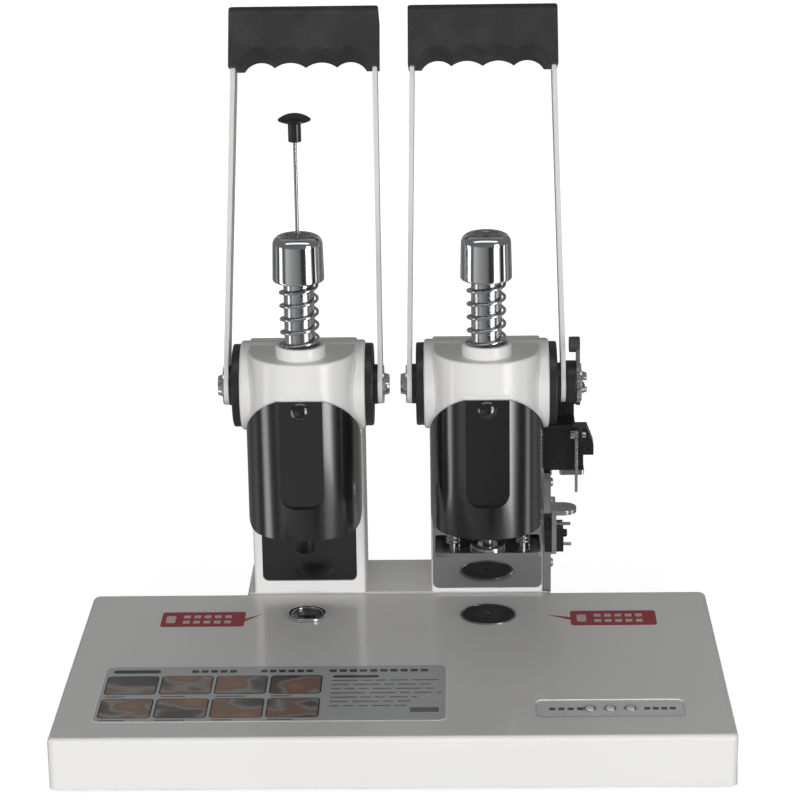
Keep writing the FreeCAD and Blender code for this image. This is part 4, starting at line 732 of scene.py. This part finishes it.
class MACHINE_OT_label(bpy.types.Operator):
    """Lay the large printed film with its plain picture blocks and bars"""
    bl_idname = "machine.label"
    bl_label = "Instruction film"

    def execute(self, context):
        size = settings()[1]
        thick = size.film_thickness
        sheet = bmesh.new()
        add_tile(sheet, size.label_left, size.label_right, size.label_front, size.label_back, 0, thick,
                 FILM_CORNER)
        close_tiles(sheet)
        add_piece("label_film", sheet, print_film("label_grey", (0.5, 0.505, 0.51)), "machine")
        rim = bmesh.new()
        add_tile(rim, size.label_left - RIM_REACH, size.label_right + RIM_REACH,
                 size.label_front - RIM_REACH, size.label_back + RIM_REACH, 0, RIM_SHARE * thick,
                 RIM_CORNER)
        close_tiles(rim)
        add_piece("label_rim", rim, print_film("label_edge", (0.85, 0.85, 0.86)), "machine")
        borders = bmesh.new()
        pictures = bmesh.new()
        for front0, front1 in PICTURE_ROWS:
            for column in range(size.picture_columns):
                left = size.label_left + PICTURE_START + size.picture_pitch * column
                right = left + size.picture_width
                add_tile(borders, left, right, front0, front1, thick / MM, thick / 2, BORDER_CORNER)
                add_tile(pictures, left + BORDER_WIDTH, right - BORDER_WIDTH, front0 + BORDER_WIDTH,
                         front1 - BORDER_WIDTH, 1.5 * thick / MM, thick / 2, PICTURE_CORNER)
        close_tiles(borders)
        close_tiles(pictures)
        add_piece("label_borders", borders, print_film("print_dark", (0.02, 0.02, 0.022), 0.4, 0.2),
                  "machine")
        add_piece("label_pictures", pictures, picture_print("print_pictures"), "machine")
        self.add_bars(size)
        return {"FINISHED"}

    def add_bars(self, size):
        """Dark heading bars and rows of thin grey bars."""
        above = size.film_thickness / MM
        thick = size.film_thickness / 2
        dark = bmesh.new()
        for x0, x1, front0, front1, corner in HEADING_BARS:
            add_tile(dark, x0, x1, front0, front1, above, thick, corner)
        for start, end, step in HEADING_ROWS:
            for index in range(int((end - start) / step)):
                left = start + step * index
                add_tile(dark, left, left + step * HEADING_FILL, *HEADING_DEPTH, above, thick,
                         BLOCK_CORNER)
        close_tiles(dark)
        add_piece("label_headings", dark, print_film("print_heading", (0.06, 0.06, 0.065), 0.4, 0.2),
                  "machine")
        pale = bmesh.new()
        for row, reach in enumerate(LINE_REACHES):
            front = LINE_TOP - LINE_PITCH * row
            start = LINE_START
            while start < reach:
                width = LINE_LEAST + LINE_STEP * ((row * 3 + int(start + 60)) % 4)
                add_tile(pale, start, min(start + width, reach + 2), front, front + LINE_DEPTH, above,
                         thick, LINE_CORNER)
                start += width + LINE_GAP
        for row, front in enumerate(CAPTION_ROWS):
            for column in range(size.picture_columns):
                left = size.label_left + CAPTION_START + size.picture_pitch * column
                right = left + CAPTION_LEAST + CAPTION_STEP * ((column + row) % 3)
                add_tile(pale, left, right, front, front + LINE_DEPTH, above, thick, LINE_CORNER)
        add_tile(pale, *FOOT_BLOCK, above, thick, FOOT_BLOCK_CORNER)
        close_tiles(pale)
        add_piece("label_lines", pale, print_film("print_line", (0.16, 0.16, 0.17), 0.4, 0.2), "machine")


class MACHINE_OT_tags(bpy.types.Operator):
    """Lay the two red films that point at the dies"""
    bl_idname = "machine.tags"
    bl_label = "Pointing tags"

    def execute(self, context):
        look, size, _ = settings()
        thick = size.film_thickness
        red = print_film("tag_red", tuple(look.tag_colour), 0.34, 0.08)
        pale = print_film("tag_pale", (0.62, 0.5, 0.5), 0.4, 0.1)
        for side, (x0, x1, front0, front1, root_x, root, tip_x, tip) in TAGS.items():
            work = bmesh.new()
            add_tile(work, x0, x1, front0, front1, 0, thick, TAG_CORNER)
            self.add_pointer(work, root_x, root, tip_x, tip, thick)
            close_tiles(work)
            add_piece(side + "_tag", work, red, "machine")
            marks = bmesh.new()
            start = x0 + TAG_START[side]
            add_tile(marks, start, start + TAG_PICTURE_WIDTH, front0 + TAG_PICTURE_INSET,
                     front1 - TAG_PICTURE_INSET, thick / MM, thick / 2, TAG_PICTURE_CORNER)
            across, deep = TAG_BLOCK_SIZE
            for row in TAG_BLOCK_ROWS:
                for index in range(TAG_BLOCKS):
                    left = start + TAG_BLOCK_START + TAG_BLOCK_PITCH * index
                    add_tile(marks, left, left + across, front0 + row, front0 + row + deep,
                             thick / MM, thick / 2, TAG_BLOCK_CORNER)
            close_tiles(marks)
            add_piece(side + "_tag_blocks", marks, pale, "machine")
        return {"FINISHED"}

    def add_pointer(self, work, root_x, root, tip_x, tip, thick):
        """Slim pointer from the tag towards a die."""
        verts = [work.verts.new(on_base(root_x, root - 1.6)), work.verts.new(on_base(tip_x, tip)),
                 work.verts.new(on_base(root_x, root + 2.6))]
        thicken(work, work.faces.new(verts), thick)


class MACHINE_OT_indicators(bpy.types.Operator):
    """Finish the lamps and lay the pale inlay and bezels round them"""
    bl_idname = "machine.indicators"
    bl_label = "Indicators"

    def execute(self, context):
        size = settings()[1]
        thick = size.film_thickness
        dress(lens_plastic("lamp_lens"), "status_lamps")
        low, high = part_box("status_lamps")
        middle = (low.x + high.x) / 2 / MM
        front = ((low.y + high.y) / 2 - BASE_LOW.y) / MM
        half_width, half_depth = INLAY_HALF
        inlay = bmesh.new()
        add_tile(inlay, middle - half_width, middle + half_width, front - half_depth, front + half_depth,
                 INLAY_RISE, thick, INLAY_CORNER)
        close_tiles(inlay)
        add_piece("indicator_inlay", inlay, print_film("inlay_pale", (0.74, 0.74, 0.74), 0.3, 0.03),
                  "machine")
        bars = bmesh.new()
        for place in INLAY_BLOCKS:
            left = middle + place
            add_tile(bars, left, left + INLAY_BLOCK_WIDTH, front - INLAY_BLOCK_HALF_DEPTH,
                     front + INLAY_BLOCK_HALF_DEPTH, INLAY_RISE + thick / MM, thick / 2, BLOCK_CORNER)
        close_tiles(bars)
        add_piece("indicator_blocks", bars, print_film("inlay_dark", (0.12, 0.12, 0.125), 0.4, 0.1),
                  "machine")
        self.add_bezels(middle, front, INLAY_RISE + thick / MM)
        return {"FINISHED"}

    def add_bezels(self, middle, front, rise):
        """Turned bright bezels round the three lamps."""
        work = bmesh.new()
        for offset in BEZEL_PLACES:
            centre = on_base(middle + offset, front, rise)
            verts = [work.verts.new(centre + Vector((radius * MM, 0, height * MM)))
                     for radius, height in BEZEL_PROFILE]
            edges = [work.edges.new((verts[index], verts[(index + 1) % len(verts)]))
                     for index in range(len(verts))]
            bmesh.ops.spin(work, geom=verts + edges, cent=centre, axis=(0, 0, 1),
                           angle=2 * math.pi, steps=40, use_merge=True)
        bmesh.ops.remove_doubles(work, verts=work.verts, dist=MERGE)
        close_tiles(work)
        piece = add_piece("lamp_bezels", work, plated("bezel_chrome", (0.7, 0.7, 0.72), 0.1), "machine")
        smooth_by_angle(piece, 25)


class MACHINE_OT_stage(bpy.types.Operator):
    """Set the pale floor, the sheets that reflections see, the soft lights and the camera"""
    bl_idname = "machine.stage"
    bl_label = "Studio"

    def execute(self, context):
        stage = settings()[2]
        self.add_floor(stage)
        self.add_reflected_table(stage)
        self.add_reflected_ceiling(stage)
        self.add_room(stage)
        strip, front, rear = stage.strip_power, stage.front_power, stage.rear_power
        self.add_light("left_strip", (-1.25, -1.05, 0.45), (0, 0.03, 0.16), (0.6, 0.9), strip, False)
        self.add_light("right_strip", (1.3, -1.0, 0.45), (0, 0.03, 0.16), (0.6, 0.9), strip, True)
        self.add_light("front_soft", (0.0, -2.0, 0.3), (0, 0, 0.16), (1.4, 0.5), front, False)
        self.add_light("rear_soft", (0.0, 1.3, 0.9), (0, 0.1, 0.1), (1.2, 0.6), rear, False)
        self.add_camera(stage)
        scene = context.scene
        scene.view_settings.view_transform = "Standard"
        scene.view_settings.look = "None"
        return {"FINISHED"}

    def add_floor(self, stage):
        """Wide pale floor that glows a little, as a lit table does."""
        finish = Finish("floor_pale")
        cloud = finish.noise(0.6, 2)
        away = finish.span(finish.ring_distance(Vector((0, 0, 0))), 0.5, 2.5)
        floor = self.add_sheet("floor", 8, FLOOR_SPAN, finish.done({
            "Base Color": finish.blend(cloud, grey(0.86), grey(0.9)),
            "Roughness": 0.85, "Specular IOR Level": 0.0,
            "Emission Color": finish.blend(away, grey(0.8), grey(1)),
            "Emission Strength": stage.floor_glow}))
        floor.visible_glossy = False
        floor.visible_diffuse = False

    def add_sheet(self, name, segments, span, material):
        """Level sheet of the stage, by half its width and its height."""
        reach, height = span
        work = bmesh.new()
        bmesh.ops.create_grid(work, x_segments=segments, y_segments=segments, size=reach,
                              matrix=Matrix.Translation((0, 0, height)))
        mesh = bpy.data.meshes.new(name)
        work.to_mesh(mesh)
        work.free()
        mesh.materials.append(material)
        sheet = bpy.data.objects.new(name, mesh)
        bpy.context.scene.collection.objects.link(sheet)
        return sheet

    def add_reflected_table(self, stage):
        """Table that only reflections see: dark, with soft bright bands round the machine."""
        finish = Finish("reflected_bands")
        across = finish.axis_part("X")
        behind = finish.axis_part("Y")
        turn = finish.node("ShaderNodeMath", {"operation": "ARCTAN2"}, {0: across, 1: 0 - behind})
        glow = finish.ramp(turn * (0.5 / math.pi) + 0.5,
                           [(degrees / 360 + 0.5, grey(value)) for degrees, value in TABLE_BANDS])
        away = finish.span(finish.ring_distance(DIM_PLACE), *DIM_EDGE)
        glow = finish.blend(away, grey(DIM_VALUE), glow)
        self.add_reflector("reflected_table", TABLE_SPAN, finish, glow, stage.band_glow)

    def add_reflected_ceiling(self, stage):
        """Long soft box overhead that only reflections see."""
        finish = Finish("reflected_soft_box")
        behind = finish.axis_part("Y") + finish.noise(2, 1) * 0.05
        glow = finish.ramp(behind * 0.4 + 0.5, [(place, grey(value)) for place, value in CEILING_BANDS])
        self.add_reflector("reflected_ceiling", CEILING_SPAN, finish, glow, stage.ceiling_glow)

    def add_reflector(self, name, span, finish, glow, strength):
        """Level glowing sheet that nothing but a reflection shows."""
        sheet = self.add_sheet(name, 2, span, finish.done({
            "Base Color": (0, 0, 0, 1), "Roughness": 1.0, "Specular IOR Level": 0.0,
            "Emission Color": glow, "Emission Strength": strength}))
        sheet.visible_camera = False
        sheet.visible_diffuse = False
        sheet.visible_shadow = False
        sheet.visible_transmission = False

    def add_room(self, stage):
        """Even light from all round."""
        world = bpy.data.worlds.new("room")
        world.use_nodes = True
        background = world.node_tree.nodes["Background"]
        background.inputs["Color"].default_value = (1, 1, 1, 1)
        background.inputs["Strength"].default_value = stage.room_light
        bpy.context.scene.world = world

    def add_light(self, name, place, target, size, power, reflected):
        """Rectangular soft light turned to a target, seen in reflections or not."""
        data = bpy.data.lights.new(name, "AREA")
        data.shape = "RECTANGLE"
        data.size, data.size_y = size
        data.energy = power
        light = bpy.data.objects.new(name, data)
        light.location = place
        toward = Vector(target) - Vector(place)
        light.rotation_euler = toward.to_track_quat("-Z", "Y").to_euler()
        light.visible_glossy = reflected
        bpy.context.scene.collection.objects.link(light)

    def add_camera(self, stage):
        """Camera at the photograph's place and angle."""
        data = bpy.data.cameras.new("photo_camera")
        data.lens = stage.lens
        data.sensor_width = 36.0
        data.clip_end = 60
        data.dof.use_dof = False
        pitch, yaw, roll = (math.radians(angle) for angle in stage.camera_turn)
        turn = (Matrix.Rotation(yaw, 4, "Z") @ Matrix.Rotation(math.pi / 2 - pitch, 4, "X")
                @ Matrix.Rotation(roll, 4, "Z"))
        camera = bpy.data.objects.new("photo_camera", data)
        camera.matrix_world = Matrix.Translation(stage.camera_place) @ turn
        bpy.context.scene.collection.objects.link(camera)
        bpy.context.scene.camera = camera


OPERATORS = (MACHINE_OT_paintwork, MACHINE_OT_front_covers, MACHINE_OT_grips, MACHINE_OT_plastics,
             MACHINE_OT_bright_metal, MACHINE_OT_springs, MACHINE_OT_tooling, MACHINE_OT_label,
             MACHINE_OT_tags, MACHINE_OT_indicators, MACHINE_OT_stage)


class MACHINE_PT_panel(bpy.types.Panel):
    """Sizes, colours and steps of the riveting machine's looks"""
    bl_idname = "MACHINE_PT_panel"
    bl_label = "Riveting machine"
    bl_space_type = "VIEW_3D"
    bl_region_type = "UI"
    bl_category = "Riveting machine"

    def draw(self, context):
        layout = self.layout
        for group in settings():
            box = layout.box()
            for name in group.__annotations__:
                box.prop(group, name)
        for operator in OPERATORS:
            layout.operator(operator.bl_idname)


GROUPS = (FinishSettings, PrintSettings, StageSettings)
CLASSES = GROUPS + OPERATORS + (MACHINE_PT_panel,)


def register():
    """Add the classes and the three groups of settings."""
    for item in CLASSES:
        bpy.utils.register_class(item)
    bpy.types.Scene.machine_finish = PointerProperty(type=FinishSettings)
    bpy.types.Scene.machine_print = PointerProperty(type=PrintSettings)
    bpy.types.Scene.machine_stage = PointerProperty(type=StageSettings)


def unregister():
    """Remove what register added."""
    del bpy.types.Scene.machine_finish
    del bpy.types.Scene.machine_print
    del bpy.types.Scene.machine_stage
    for item in reversed(CLASSES):
        bpy.utils.unregister_class(item)


def main():
    """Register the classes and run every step."""
    register()
    bpy.ops.machine.paintwork()
    bpy.ops.machine.front_covers()
    bpy.ops.machine.grips()
    bpy.ops.machine.plastics()
    bpy.ops.machine.bright_metal()
    bpy.ops.machine.springs()
    bpy.ops.machine.tooling()
    bpy.ops.machine.label()
    bpy.ops.machine.tags()
    bpy.ops.machine.indicators()
    bpy.ops.machine.stage()


if __name__ == "__main__":
    main()
